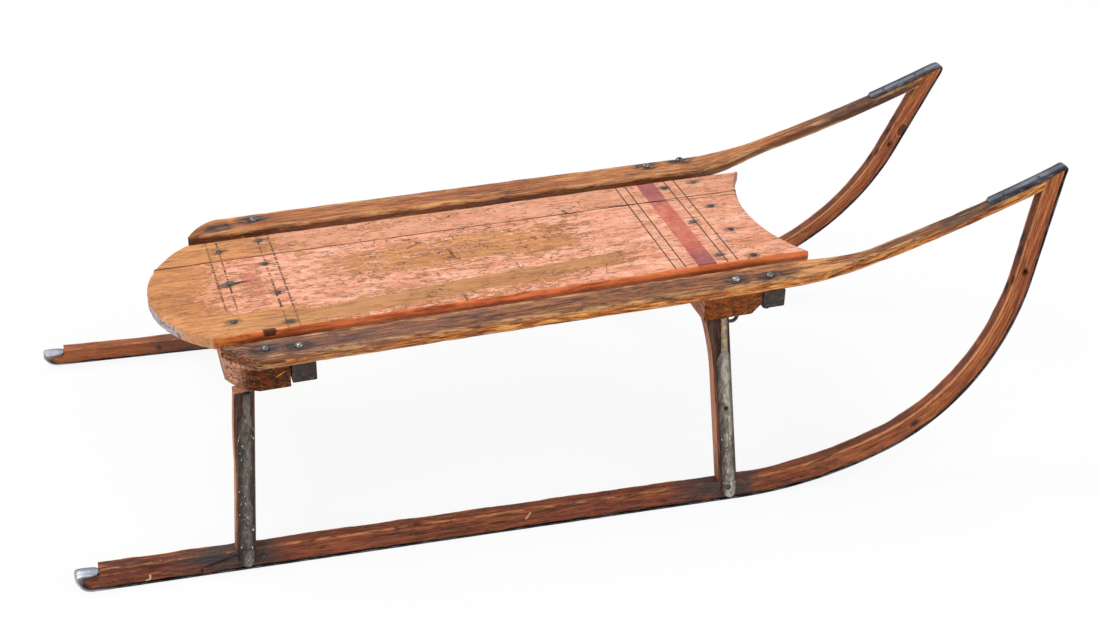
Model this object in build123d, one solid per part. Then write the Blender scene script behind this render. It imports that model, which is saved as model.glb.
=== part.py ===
from build123d import *
import math
import os

os.makedirs("parts", exist_ok=True)

# All sizes in millimetres. +X is forward, +Z is up, the left side is +Y.

# Stance
runner_rear_x = -546.8
ground_half_gauge = 219.0
deck_height = 223.0
deck_pitch = 2.9
tip_rise = 118.8
tip_toe_in = 4.0

# Runner section and bend, drawn in its own leaning plane
runner_width = 15.0
runner_depth = 20.5
shoe_thickness = 2.5
flat_end_x = 160.0
heel_radius = 530.0
heel_turn = 20.5
bow_radius = 270.0
bow_turn = 54.8
nose_run = 190.0
shoe_return = 20.0
tail_step_depth = 7.0
tail_slope_run = 14.0
tail_slope_rise = 12.0
tail_gap = 5.5
rope_hole_radius = 3.0
rope_hole_height = 224.0
rope_hole_inset = 11.0

# Rails
rail_thickness = 13.0
rail_inner_y = 115.5
rail_outer_y = 151.0
rail_rear_x = -384.0
rail_rear_sweep = 34.0
rail_rear_bulge = 5.5
rail_bend_x = 215.0
rail_bend_radius = 411.0
rail_bend_turn = 14.0
rail_sweep_radius = 1900.0
rail_sweep_turn = 10.0
rail_taper_start_x = 222.0
rail_taper_end_x = 326.0
strap_end_x = 462.0
strap_end_chamfer = 4.5

# Deck boards
deck_half_width = 100.0
deck_joint_y = 54.5
deck_joint_gap = 0.8
deck_thickness = 13.0
deck_rear_corner_x = -388.0
deck_rear_bulge = 54.0
deck_front_corner_x = 267.0
deck_front_hollow = 30.0
deck_edge_round = 3.0

# Benches: a wooden beam and a black wooden bar in front of it
beam_depth = 25.0
beam_arch = 9.0
beam_arch_half = 92.0
beam_half_length = 150.0
front_beam_chamfer = 11.0
bar_width = 25.0
bar_height = 21.0
bar_edge_round = 1.5
bench_table = [
    # name, beam start x, beam end x, bar start x
    ("rear", -383.0, -321.0, -319.5),
    ("front", 124.0, 191.0, 193.0),
]

# Legs and their iron braces
leg_thickness = 13.0
leg_top_y = 146.0
leg_table = [
    # name, foot rear x, foot front x, top rear x, top front x, flare share, shoulder share, neck shift
    # The shares of the leg's length say where its flare and its brace's shoulders begin.
    ("rear", -388.0, -368.0, -376.0, -355.0, 0.55, 0.80, 1.0),
    ("front", 138.0, 159.0, 129.0, 157.0, 0.68, 0.74, 4.0),
]
brace_width = 16.5
brace_crown = 5.0
brace_edge = 1.6
brace_overlap = 17.0
brace_pad = 0.5
brace_shoulder_run = 9.0
brace_neck = 7.5

# Screw eyes for the tow rope
eye_x = 164.0
eye_y = 134.0
eye_drop = 18.0
eye_ring_radius = 6.5
eye_wire_radius = 2.0
eye_wire_sides = 8
eye_shank = 9.0
eye_shank_radius = 1.7

reach = 1500.0  # longer than the sled, for cutting shapes

# The runners lean inwards, so that their tips come under the rails' tips.
lean_angle = math.atan2(ground_half_gauge - rail_outer_y + tip_toe_in, deck_height + tip_rise)
ground_depth = runner_depth + shoe_thickness


def path_point(center, radius, heading):
    return (center[0] + radius * math.sin(heading), center[1] - radius * math.cos(heading))


# An arc from start, to the left, or to the right with a negative radius and turn. Angles in degrees.
def bend(start, heading, radius, turn):
    begin = math.radians(heading)
    sweep = math.radians(turn)
    center = (start[0] - radius * math.sin(begin), start[1] + radius * math.cos(begin))
    middle = path_point(center, radius, begin + sweep / 2)
    end = path_point(center, radius, begin + sweep)
    return ThreePointArc(start, middle, end), end


def run(start, heading, length):
    angle = math.radians(heading)
    end = (start[0] + length * math.cos(angle), start[1] + length * math.sin(angle))
    return Line(start, end), end


# The runner's line at a depth above the ground: flat, heel bend, bow bend, straight nose.
def runner_line(depth, rear_x):
    start = (rear_x, depth)
    flat, at = run(start, 0, flat_end_x - rear_x)
    heel, at = bend(at, 0, heel_radius - depth, heel_turn)
    bow, at = bend(at, heel_turn, bow_radius - depth, bow_turn)
    nose_start = at
    nose, at = run(at, heel_turn + bow_turn, nose_run)
    return [flat, heel, bow, nose], start, nose_start, at


def face_of(plane, edges):
    with BuildSketch(plane) as sketch:
        with BuildLine():
            for edge in edges:
                add(edge)
        make_face()
    return sketch.sketch


# Straight edges from point to point, back to the first one.
def outline(points):
    return [Line(a, b) for a, b in zip(points, points[1:] + points[:1])]


# Planes: the right runner's outer face, the pitched deck from above, and the deck from the right side.
runner_plane = Plane(
    origin=(0, -ground_half_gauge, 0),
    x_dir=(1, 0, 0),
    z_dir=(0, -math.cos(lean_angle), math.sin(lean_angle)),
)
pitch = math.radians(deck_pitch)
deck_forward = (math.cos(pitch), 0, math.sin(pitch))
deck_up = (-math.sin(pitch), 0, math.cos(pitch))
deck_plane = Plane(origin=(0, 0, deck_height), x_dir=deck_forward, z_dir=deck_up)
side_plane = Plane(origin=(0, 0, deck_height), x_dir=deck_forward, z_dir=(0, -1, 0))
in_deck = deck_plane.location


# A runner-plane shape carried straight across, so that its faces stay level with the floor.
def across(edges, width):
    return extrude(face_of(runner_plane, edges), amount=width, dir=(0, 1, 0))


# A side outline of the deck's frame, from one y to another.
def side_slab(edges, from_y, to_y):
    return Location((0, from_y, 0)) * extrude(face_of(side_plane, edges), amount=to_y - from_y, dir=(0, 1, 0))


# A plan outline of the deck's frame, between two heights.
def plan_slab(edges, low, high):
    return in_deck * Location((0, 0, low)) * extrude(face_of(Plane.XY, edges), amount=high - low)


# The rail's top line, raised by rise: straight along the deck, bent up, then a slow sweep to the tip.
def rail_curve(rise):
    start = (rail_rear_x - 60, rise)
    straight, at = run(start, 0, rail_bend_x - start[0])
    curve, at = bend(at, 0, rail_bend_radius - rise, rail_bend_turn)
    sweep, at = bend(at, rail_bend_turn, rail_sweep_radius - rise, rail_sweep_turn)
    return [straight, curve, sweep], start, at


def above_rail(rise):
    edges, start, end = rail_curve(rise)
    top = [Line(end, (end[0], reach)), Line((end[0], reach), (start[0], reach)), Line((start[0], reach), start)]
    return side_slab(edges + top, -reach / 2, reach / 2)


def rail_band(low, high, from_y, to_y):
    under, under_start, under_end = rail_curve(low)
    over, over_start, over_end = rail_curve(high)
    return side_slab(under + over + [Line(under_start, over_start), Line(under_end, over_end)], from_y, to_y)


# Everything in front of the nose's straight line at a depth, and of that line's run upwards.
def ahead_of(depth):
    edges, start, nose_start, end = runner_line(depth, runner_rear_x)
    upwards, high = run(nose_start, heel_turn + bow_turn, reach / 2)
    corners = [nose_start, high, (high[0] + reach, high[1]), (nose_start[0] + reach, nose_start[1])]
    return Location((0, -reach / 4, 0)) * across(outline(corners), reach)


def save(shape, name):
    export_step(shape, f"parts/{name}.step")


# Side pieces are drawn on the right and mirrored to the left.
def save_pair(right, name):
    save(right, f"{name}_right")
    save(mirror(right, about=Plane.XZ), f"{name}_left")


# Runners: bent wood with a stepped tail, whose lower corner slopes inside the iron loop
slope_start_x = runner_rear_x + tail_slope_run
tail_x = runner_rear_x + shoe_thickness + tail_gap
step_floor = ground_depth - tail_step_depth
return_end_x = slope_start_x + shoe_return
wood_sole, sole_start, sole_nose, sole_end = runner_line(shoe_thickness, tail_x)
wood_top, top_start, top_nose, top_end = runner_line(ground_depth, tail_x)
runner = across(wood_sole + wood_top + [Line(sole_start, top_start), Line(sole_end, top_end)], runner_width)
step_corners = [
    (tail_x - 1, step_floor),
    (return_end_x + 0.5, step_floor),
    (return_end_x + 0.5, ground_depth + 5),
    (tail_x - 1, ground_depth + 5),
]
slope_corners = [
    (slope_start_x + 2, shoe_thickness - 1),
    (tail_x - 1, shoe_thickness + tail_slope_rise),
    (tail_x - 10, shoe_thickness + tail_slope_rise),
    (tail_x - 10, shoe_thickness - 1),
]
runner = runner - above_rail(0) - across(outline(step_corners), runner_width) - across(outline(slope_corners), runner_width)

# Rope hole, square through the bow's side
nose_slope = math.radians(heel_turn + bow_turn)
hole_v = rope_hole_height / math.cos(lean_angle)
hole_x = sole_nose[0] + (hole_v - sole_nose[1]) / math.tan(nose_slope) - rope_hole_inset
hole_y = -ground_half_gauge + rope_hole_height * math.tan(lean_angle) + runner_width / 2
hole_plane = Plane(origin=(hole_x, hole_y, rope_hole_height), z_dir=runner_plane.z_dir)
rope_hole = hole_plane.location * Cylinder(rope_hole_radius, 4 * runner_width)
save_pair(runner - rope_hole, "runner")

# Runner shoes: one iron strip under the runner, round the tail, and over the tip onto the rail
iron_sole, sole_start, sole_nose, sole_end = runner_line(0, slope_start_x)
iron_liner, liner_start, liner_nose, liner_end = runner_line(shoe_thickness, slope_start_x)
sole_strip = across(
    iron_sole + iron_liner + [Line(sole_start, liner_start), Line(sole_end, liner_end)], runner_width
)
strip_top = step_floor + shoe_thickness
loop_middle_v = tail_slope_rise + (strip_top - tail_slope_rise) / 2


# The tail loop's line at a depth inside the strip: slope, turn and return along the top.
def loop_line(depth):
    slope_low = (slope_start_x + 0.4 * depth, depth)
    slope_high = (runner_rear_x + depth, tail_slope_rise + 0.3 * depth)
    turn_end = (slope_start_x - 4, strip_top - depth)
    turn_mid = (runner_rear_x + 1.5 + depth, loop_middle_v + 1.5 - 0.3 * depth)
    end = (return_end_x, strip_top - depth)
    return [Line(slope_low, slope_high), ThreePointArc(slope_high, turn_mid, turn_end), Line(turn_end, end)], slope_low, end


loop_outer, outer_low, outer_end = loop_line(0)
loop_inner, inner_low, inner_end = loop_line(shoe_thickness)
loop_ends = [
    Line(outer_end, inner_end),
    Line(inner_low, (slope_start_x + 4, shoe_thickness)),
    Line((slope_start_x + 4, shoe_thickness), (slope_start_x + 4, 0)),
    Line((slope_start_x + 4, 0), outer_low),
]
tail_loop = across(loop_outer + loop_inner + loop_ends, runner_width)
strap_inner_y = -rail_outer_y + runner_width
strap_corners = [
    (strap_end_x, -rail_outer_y + strap_end_chamfer),
    (strap_end_x, strap_inner_y - strap_end_chamfer),
    (strap_end_x + strap_end_chamfer, strap_inner_y),
    (reach / 2, strap_inner_y),
    (reach / 2, -rail_outer_y),
    (strap_end_x + strap_end_chamfer, -rail_outer_y),
]
strap = rail_band(0, shoe_thickness, -rail_outer_y, strap_inner_y)
strap = (strap & plan_slab(outline(strap_corners), -10, reach / 2)) - ahead_of(0)
save_pair(sole_strip - above_rail(shoe_thickness) + tail_loop + strap, "runner_shoe")

# Rails: flat along the deck, rounded off at the rear, narrowed and bent up to the tip
rail_tip_y = rail_outer_y - runner_width
taper_length = rail_taper_end_x - rail_taper_start_x
taper_step = rail_tip_y - rail_inner_y
taper_radius = (taper_length**2 + taper_step**2) / (4 * taper_step)
taper_turn = 2 * math.degrees(math.atan2(taper_step, taper_length))
rear_inner = (rail_rear_x, -rail_inner_y)
rear_outer = (rail_rear_x + rail_rear_sweep, -rail_outer_y)
chord = math.hypot(rear_outer[0] - rear_inner[0], rear_outer[1] - rear_inner[1])
rear_bulge = (
    (rear_inner[0] + rear_outer[0]) / 2 + rail_rear_bulge * (rear_outer[1] - rear_inner[1]) / chord,
    (rear_inner[1] + rear_outer[1]) / 2 - rail_rear_bulge * (rear_outer[0] - rear_inner[0]) / chord,
)
rear_curve = ThreePointArc(rear_inner, rear_bulge, rear_outer)
straight_inner, at = run(rear_inner, 0, rail_taper_start_x - rail_rear_x)
first_bend, at = bend(at, 0, -taper_radius, -taper_turn)
second_bend, at = bend(at, -taper_turn, taper_radius, taper_turn)
nose_inner, nose_at = run(at, 0, reach / 2)
rail_plan = [
    straight_inner,
    first_bend,
    second_bend,
    nose_inner,
    Line(nose_at, (nose_at[0], -rail_outer_y)),
    Line((nose_at[0], -rail_outer_y), rear_outer),
    rear_curve,
]
rail = rail_band(-rail_thickness, 0, -rail_outer_y, -rail_inner_y)
rail = (rail & plan_slab(rail_plan, -60, reach / 2)) - ahead_of(ground_depth)
save_pair(rail, "rail")

# Deck boards: one plan, round at the rear and hollow at the front, split along the joint
deck_rear = deck_rear_corner_x - deck_rear_bulge
deck_plan = [
    Line((deck_rear_corner_x, -deck_half_width), (deck_front_corner_x, -deck_half_width)),
    ThreePointArc(
        (deck_front_corner_x, -deck_half_width),
        (deck_front_corner_x - deck_front_hollow, 0),
        (deck_front_corner_x, deck_half_width),
    ),
    Line((deck_front_corner_x, deck_half_width), (deck_rear_corner_x, deck_half_width)),
    ThreePointArc(
        (deck_rear_corner_x, deck_half_width), (deck_rear, 0), (deck_rear_corner_x, -deck_half_width)
    ),
]
deck = extrude(face_of(Plane.XY, deck_plan), amount=-deck_thickness)
deck = fillet(deck.faces().sort_by(Axis.Z)[-1].edges(), deck_edge_round)
wide_start = -deck_half_width - 1
wide_end = deck_joint_y - deck_joint_gap / 2
narrow_start = deck_joint_y + deck_joint_gap / 2
narrow_end = deck_half_width + 1
for name, start_y, end_y in [("wide", wide_start, wide_end), ("narrow", narrow_start, narrow_end)]:
    board_middle = ((deck_rear + deck_front_corner_x) / 2, (start_y + end_y) / 2, 0)
    board_box = Box(deck_front_corner_x - deck_rear + 20, end_y - start_y, 4 * deck_thickness)
    save(in_deck * (deck & (Location(board_middle) * board_box)), f"deck_board_{name}")

# Benches: wooden beams, arched underneath, each with a plain bar in front
beam_top = -deck_thickness
beam_low = beam_top - beam_depth
beam_middle = (beam_top + beam_low) / 2
arch_radius = (beam_arch_half**2 + beam_arch**2) / (2 * beam_arch)
behind_rail = [
    rear_curve,
    Line(rear_outer, (rear_outer[0], rear_outer[1] - 20)),
    Line((rear_outer[0], rear_outer[1] - 20), (rail_rear_x - 60, rear_outer[1] - 20)),
    Line((rail_rear_x - 60, rear_outer[1] - 20), (rail_rear_x - 60, rear_inner[1])),
    Line((rail_rear_x - 60, rear_inner[1]), rear_inner),
]


def arched_beam(start_x, end_x):
    length = end_x - start_x
    middle_x = (start_x + end_x) / 2
    block = Location((middle_x, 0, beam_middle)) * Box(length, 2 * beam_half_length, beam_depth)
    arch = Location((middle_x, 0, beam_low + beam_arch - arch_radius), (0, 90, 0)) * Cylinder(arch_radius, length + 20)
    return block - arch


# The rear beam's ends follow the rails' rounded corners.
def rear_beam(start_x, end_x):
    corner = Location((0, 0, beam_low - 5)) * extrude(face_of(Plane.XY, behind_rail), amount=beam_depth + 10)
    return arched_beam(start_x, end_x) - corner - mirror(corner, about=Plane.XZ)


# The front beam is chamfered along its lower front edge and holds the screw eyes.
def front_beam(start_x, end_x):
    chamfer_side = front_beam_chamfer * math.sqrt(2)
    beam = arched_beam(start_x, end_x)
    beam = beam - Location((end_x, 0, beam_low), (0, 45, 0)) * Box(chamfer_side, 3 * beam_half_length, chamfer_side)
    for side in (-1, 1):
        beam = beam - Location((eye_x, side * eye_y, beam_low)) * Cylinder(eye_shank_radius, 2 * eye_shank)
    return beam


beam_makers = {"rear": rear_beam, "front": front_beam}
for name, start_x, end_x, bar_x in bench_table:
    save(in_deck * beam_makers[name](start_x, end_x), f"cross_beam_{name}")
    bar_at = Location((bar_x + bar_width / 2, 0, beam_top - bar_height / 2))
    bar = bar_at * Box(bar_width, 2 * beam_half_length, bar_height)
    save(in_deck * fillet(bar.edges().filter_by(Axis.Y), bar_edge_round), f"cross_bar_{name}")

# Legs and braces: splayed knees between the beams and the runners
foot_z = ground_depth * math.cos(lean_angle)
foot_y = -ground_half_gauge + ground_depth * math.sin(lean_angle)
above_beam_low = in_deck * Location((0, 0, beam_low + reach / 2)) * Box(2 * reach, 2 * reach, reach)
below_foot = Location((0, 0, foot_z - reach / 2)) * Box(2 * reach, 2 * reach, reach)
crown_radius = ((brace_width / 2) ** 2 + (brace_crown - brace_edge) ** 2) / (2 * (brace_crown - brace_edge))


# A flat outline on a plane, crowned like half-round iron along the line from one point to another.
def half_round(plane, edges, low_point, high_point, crown):
    low = plane.from_local_coords(Vector(*low_point, crown - crown_radius))
    high = plane.from_local_coords(Vector(*high_point, crown - crown_radius))
    rod = Plane(origin=low, z_dir=high - low).location * Cylinder(crown_radius, 2 * reach)
    return extrude(face_of(plane, edges), amount=crown + 1) & rod


for name, foot_rear, foot_front, top_rear, top_front, flare_share, shoulder_share, neck_shift in leg_table:
    top_z = deck_height + (top_rear + top_front) / 2 * math.tan(pitch) + beam_low / math.cos(pitch)
    splay = math.atan2(-leg_top_y - foot_y, top_z - foot_z)
    leg_length = (top_z - foot_z) / math.cos(splay)
    leg_out = (0, -math.cos(splay), math.sin(splay))
    leg_plane = Plane(origin=(0, foot_y, foot_z), x_dir=(1, 0, 0), z_dir=leg_out)
    front_drift = (top_front - foot_front) / leg_length
    flare_v = flare_share * leg_length
    flare_x = foot_rear + front_drift * flare_v
    over_v = 1.2 * leg_length
    under_v = -20.0
    leg_edges = [
        Line((foot_rear + front_drift * under_v, under_v), (flare_x, flare_v)),
        ThreePointArc(
            (flare_x, flare_v), (0.7 * flare_x + 0.3 * top_rear, (flare_v + leg_length) / 2), (top_rear, leg_length)
        ),
        Line((top_rear, leg_length), (top_rear, over_v)),
        Line((top_rear, over_v), (foot_front + front_drift * over_v, over_v)),
        Line((foot_front + front_drift * over_v, over_v), (foot_front + front_drift * under_v, under_v)),
        Line((foot_front + front_drift * under_v, under_v), (foot_rear + front_drift * under_v, under_v)),
    ]
    leg = extrude(face_of(leg_plane, leg_edges), amount=-leg_thickness)
    save_pair(leg - above_beam_low - below_foot, f"leg_{name}")

    half = brace_width / 2
    half_neck = brace_neck / 2
    foot_middle = foot_front - 1 - half

    def side_at(v, offset):
        return (foot_middle + front_drift * v + offset, v)

    shoulder_v = shoulder_share * leg_length
    neck_v = shoulder_v + brace_shoulder_run
    shoulder_mid = shoulder_v + 0.6 * brace_shoulder_run
    waist = 0.6 * half + 0.4 * half_neck
    upper_edges = [
        Line(side_at(-0.6, -half), side_at(shoulder_v, -half)),
        ThreePointArc(side_at(shoulder_v, -half), side_at(shoulder_mid, -waist), side_at(neck_v, -half_neck)),
        Line(side_at(neck_v, -half_neck), side_at(over_v, neck_shift - half_neck)),
        Line(side_at(over_v, neck_shift - half_neck), side_at(over_v, neck_shift + half_neck)),
        Line(side_at(over_v, neck_shift + half_neck), side_at(neck_v, half_neck)),
        ThreePointArc(side_at(neck_v, half_neck), side_at(shoulder_mid, waist), side_at(shoulder_v, half)),
        Line(side_at(shoulder_v, half), side_at(-0.6, half)),
        Line(side_at(-0.6, half), side_at(-0.6, -half)),
    ]
    upper = half_round(leg_plane, upper_edges, side_at(0, 0), side_at(leg_length, 0), brace_crown)

    # The foot is a slightly larger round pad on the runner's side
    toe_plane = Plane(origin=(0, foot_y, foot_z), x_dir=(1, 0, 0), z_dir=runner_plane.z_dir)
    toe_half = half + brace_pad
    toe_v = toe_half - brace_overlap
    toe_top = 3 * brace_pad
    toe_edges = [
        Line((foot_middle - toe_half, toe_top), (foot_middle - toe_half, toe_v)),
        ThreePointArc(
            (foot_middle - toe_half, toe_v), (foot_middle, -brace_overlap), (foot_middle + toe_half, toe_v)
        ),
        Line((foot_middle + toe_half, toe_v), (foot_middle + toe_half, toe_top)),
        Line((foot_middle + toe_half, toe_top), (foot_middle - toe_half, toe_top)),
    ]
    toe_crown = brace_crown + brace_pad
    toe = half_round(toe_plane, toe_edges, (foot_middle, -brace_overlap), (foot_middle, 0), toe_crown)
    save_pair((upper + toe) - above_beam_low, f"leg_brace_{name}")

# Screw eyes under the front beam, their rings hanging in line with the sled
ring_z = beam_low - eye_drop + eye_wire_radius + eye_ring_radius
ring_section = Plane.XZ * Location((eye_ring_radius, 0, 0)) * RegularPolygon(eye_wire_radius, eye_wire_sides)
ring = Location((eye_x, -eye_y, ring_z), (90, 0, 0)) * revolve(ring_section, Axis.Z)
shank_low = ring_z + eye_ring_radius
shank_high = beam_low + eye_shank
shank = Location((eye_x, -eye_y, (shank_low + shank_high) / 2)) * Cylinder(eye_shank_radius, shank_high - shank_low)
save_pair(in_deck * (ring + shank), "screw_eye")
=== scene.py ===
import bmesh
import bpy
import math
from mathutils import Matrix, Vector, noise


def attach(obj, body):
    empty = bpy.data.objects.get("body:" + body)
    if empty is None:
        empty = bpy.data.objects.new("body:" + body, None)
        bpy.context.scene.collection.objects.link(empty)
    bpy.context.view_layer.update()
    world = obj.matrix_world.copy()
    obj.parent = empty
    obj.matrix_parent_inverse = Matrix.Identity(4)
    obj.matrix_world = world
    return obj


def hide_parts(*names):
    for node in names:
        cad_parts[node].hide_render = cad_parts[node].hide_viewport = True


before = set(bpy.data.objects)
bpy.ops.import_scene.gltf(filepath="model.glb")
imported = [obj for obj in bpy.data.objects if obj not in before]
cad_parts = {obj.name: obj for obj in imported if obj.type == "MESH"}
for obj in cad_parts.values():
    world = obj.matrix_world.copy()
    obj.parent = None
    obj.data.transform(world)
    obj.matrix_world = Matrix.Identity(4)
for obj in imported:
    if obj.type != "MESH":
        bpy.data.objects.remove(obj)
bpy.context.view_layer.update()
root = "root"
print("frame loaded, nodes:", len(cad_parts))

mm = 0.001
hands = (("left", 1), ("right", -1))  # each side's name and the way it lies along y


class Wire:  # one socket of a node tree, with arithmetic on it
    def __init__(self, board, socket):
        self.board = board
        self.socket = socket

    def maths(self, operation, other=None, swapped=False):
        values = {0: self} if other is None else {0: other, 1: self} if swapped else {0: self, 1: other}
        return self.board.node("ShaderNodeMath", {"operation": operation}, values)

    def __add__(self, other):
        return self.maths("ADD", other)

    def __sub__(self, other):
        return self.maths("SUBTRACT", other)

    def __rsub__(self, other):
        return self.maths("SUBTRACT", other, True)

    def __mul__(self, other):
        return self.maths("MULTIPLY", other)

    def __truediv__(self, other):
        return self.maths("DIVIDE", other)

    def __rtruediv__(self, other):
        return self.maths("DIVIDE", other, True)

    def __abs__(self):
        return self.maths("ABSOLUTE")

    __radd__ = __add__
    __rmul__ = __mul__

    def step(self, low, high):  # 0 below low, 1 above high, smooth between; low may be above high
        return self.board.node("ShaderNodeMapRange", {"interpolation_type": "SMOOTHSTEP"},
                               {"Value": self, "From Min": low, "From Max": high})

    def near(self, place, reach):  # 1 at place, 0 beyond reach
        return abs(self - place).step(reach, reach * 0.4)

    def within(self, low, high, soft):  # 1 from low to high, 0 outside
        return self.step(low - soft, low + soft) * self.step(high + soft, high - soft)

    def cloud(self, stretch, detail=3.0, rough=0.55, bend=0.0, shift=(0, 0, 0)):  # noise over places
        moved = self.board.vector("ADD", self, shift)
        # two numbers in stretch are for x, and for y and z alike
        stretched = self.board.vector("MULTIPLY", moved, (*stretch, stretch[-1])[:3])
        return self.board.node("ShaderNodeTexNoise", None, {
            "Vector": stretched, "Scale": 1.0, "Detail": detail, "Roughness": rough, "Distortion": bend})

    def under(self, share, colour):  # this colour under a share of another
        return self.board.blend(share, self, colour)

    def ramp(self, places, codes):  # a run of colours for rising values
        stops = [(place, paint(code)) for place, code in zip(places, codes.split())]
        return self.board.node("ShaderNodeValToRGB", {"stops": stops}, {0: self})


class Board:  # a node tree, for a material, the world or geometry
    def __init__(self, tree, owner=None):
        self.tree = tree
        self.owner = owner

    def node(self, kind, settings=None, inputs=None, out=0):
        made = self.tree.nodes.new(kind)
        for name, value in (settings or {}).items():
            if name == "stops":
                elements = made.color_ramp.elements
                elements.remove(elements[-1])
                for index, (place, colour) in enumerate(value):
                    element = elements.new(place) if index else elements[0]
                    element.position = place
                    element.color = colour
            else:
                setattr(made, name, value)
        for name, value in (inputs or {}).items():
            if isinstance(value, Wire):
                self.tree.links.new(value.socket, made.inputs[name])
            else:
                made.inputs[name].default_value = value
        return Wire(self, made.outputs[out]) if len(made.outputs) else None

    def vector(self, operation, a, b):
        return self.node("ShaderNodeVectorMath", {"operation": operation}, {0: a, 1: b})

    def parts(self, vector):
        return [self.node("ShaderNodeSeparateXYZ", None, {0: vector}, out=axis) for axis in range(3)]

    def join(self, x, y, z):
        return self.node("ShaderNodeCombineXYZ", None, {0: x, 1: y, 2: z})

    def turned(self, place, angles):
        return self.node("ShaderNodeMapping", None, {"Vector": place, "Rotation": angles})

    def blend(self, share, under, over):
        colours = {0: share, 6: paint(under), 7: paint(over)}
        return self.node("ShaderNodeMix", {"data_type": "RGBA"}, colours, out=2)

    def spot(self):  # where a point lies on the sled
        return self.node("ShaderNodeTexCoord", out=3)

    def stored(self, name, out=1):  # a vector kept on the mesh, or a number with out=2
        return self.node("ShaderNodeAttribute", {"attribute_name": name}, out=out)


def paint(colour):  # a written colour as linear values; a wire stays as it is
    if isinstance(colour, Wire):
        return colour
    parts = [int(colour[i:i + 2], 16) / 255 for i in (0, 2, 4)]
    return (*[c / 12.92 if c < 0.04045 else ((c + 0.055) / 1.055) ** 2.4 for c in parts], 1)


def clearBoard(owner):
    owner.use_nodes = True
    owner.node_tree.nodes.clear()
    return Board(owner.node_tree, owner)


def finishOf(name):
    return clearBoard(bpy.data.materials.new(name))


def closeFinish(colour, rough, height, bumpDepth=0.0006, specular=0.5, metal=0.0):
    board = colour.board
    bump = board.node("ShaderNodeBump", None, {"Height": height, "Distance": bumpDepth, "Strength": 1.0})
    shell = board.node("ShaderNodeBsdfPrincipled", None, {
        "Base Color": colour, "Roughness": rough, "Metallic": metal, "Normal": bump,
        "Specular IOR Level": specular})
    board.node("ShaderNodeOutputMaterial", None, {"Surface": shell})
    return board.owner


def strongest(wires):  # the highest of several values
    total = wires[0]
    for wire in wires[1:]:
        total = total.maths("MAXIMUM", wire)
    return total


def halo(place, spots, inner, outer, stretch=(1, 1, 1)):  # 1 near any of the spots, fading out
    board = place.board
    stretched = board.vector("MULTIPLY", place, stretch)
    rings = []
    for spot in spots:
        there = Vector(spot) * Vector(stretch)
        away = board.node("ShaderNodeVectorMath", {"operation": "DISTANCE"}, {0: stretched, 1: there}, out=1)
        rings.append(away.step(outer, inner))
    return strongest(rings)


# coordinates of the sled, the same as the solids'
stance = dict(deckHeight=223 * mm, pitch=math.radians(2.9), gauge=219 * mm, lean=math.atan2(72, 341.8))
lean = stance["lean"]


def deckPoint(x, y, z):
    c, s = math.cos(stance["pitch"]), math.sin(stance["pitch"])
    return Vector((x * c - z * s, y, stance["deckHeight"] + x * s + z * c))


def aside(heading):  # the way to the left of a heading, in a side view
    return Vector((-math.sin(heading), math.cos(heading)))


# runner line in its own plane: flat, heel, bow, nose
runnerSizes = dict(width=15 * mm, depth=20.5 * mm, shoe=2.5 * mm, rearX=-546.8 * mm, tailGap=5.5 * mm,
                   flatEnd=160 * mm, heelRadius=530 * mm, heelTurn=20.5, bowRadius=270 * mm, bowTurn=54.8,
                   noseRun=190 * mm, stepDepth=7 * mm, slopeRun=14 * mm, slopeRise=12 * mm,
                   holeHeight=224 * mm, holeInset=11 * mm, holeRadius=3 * mm,
                   edgeRound=1.8 * mm, wear=2.2 * mm, tipTrim=9.2 * mm)


def runnerLine(depth, startX, step=4 * mm):
    r = runnerSizes
    count = max(2, int((r["flatEnd"] - startX) / step))
    points = [(startX + (r["flatEnd"] - startX) * i / count, depth) for i in range(count)]
    heading, at = 0.0, Vector((r["flatEnd"], depth))
    for radius, turn in ((r["heelRadius"], r["heelTurn"]), (r["bowRadius"], r["bowTurn"])):
        sweep, reach = math.radians(turn), radius - depth
        middle = at + aside(heading) * reach
        count = max(2, int(reach * sweep / step))
        points += [tuple(middle - aside(heading + sweep * i / count) * reach) for i in range(count)]
        heading += sweep
        at = middle - aside(heading) * reach
    ahead = Vector((math.cos(heading), math.sin(heading)))
    count = int(r["noseRun"] / step)
    points += [tuple(at + ahead * r["noseRun"] * i / count) for i in range(count + 1)]
    return points, at, heading


def nosePlane(depth):  # a point and the forward normal of the nose's line at a depth
    points, start, heading = runnerLine(depth, 0)
    normal = Vector((math.sin(heading) * math.cos(lean), 0, -math.cos(heading)))
    return Vector((start.x, 0, start.y * math.cos(lean))), normal


def alongAt(height):  # length along the runner's middle line at a height
    r = runnerSizes
    points, start, heading = runnerLine(r["shoe"] + r["depth"] / 2, r["rearX"] + r["shoe"] + r["tailGap"])
    total = 0.0
    for a, b in zip(points, points[1:]):
        total += math.dist(a, b)
        if b[1] * math.cos(lean) > height:
            break
    return total


# rail line in the deck's frame
railSizes = dict(thickness=13 * mm, inner=115.5 * mm, outer=151 * mm, rearX=-384 * mm, sweep=34 * mm,
                 bulge=dict(left=5.5 * mm, right=0.8 * mm), bendX=215 * mm, bendRadius=411 * mm,
                 bendTurn=14.0, sweepRadius=1900 * mm, sweepTurn=10.0, taperStart=222 * mm,
                 taperEnd=326 * mm, tipWidth=15 * mm,
                 tipAt=335 * mm, drawnTo=360 * mm)  # these two are lengths past the bend
railStraight = railSizes["bendX"] - railSizes["rearX"]


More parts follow.
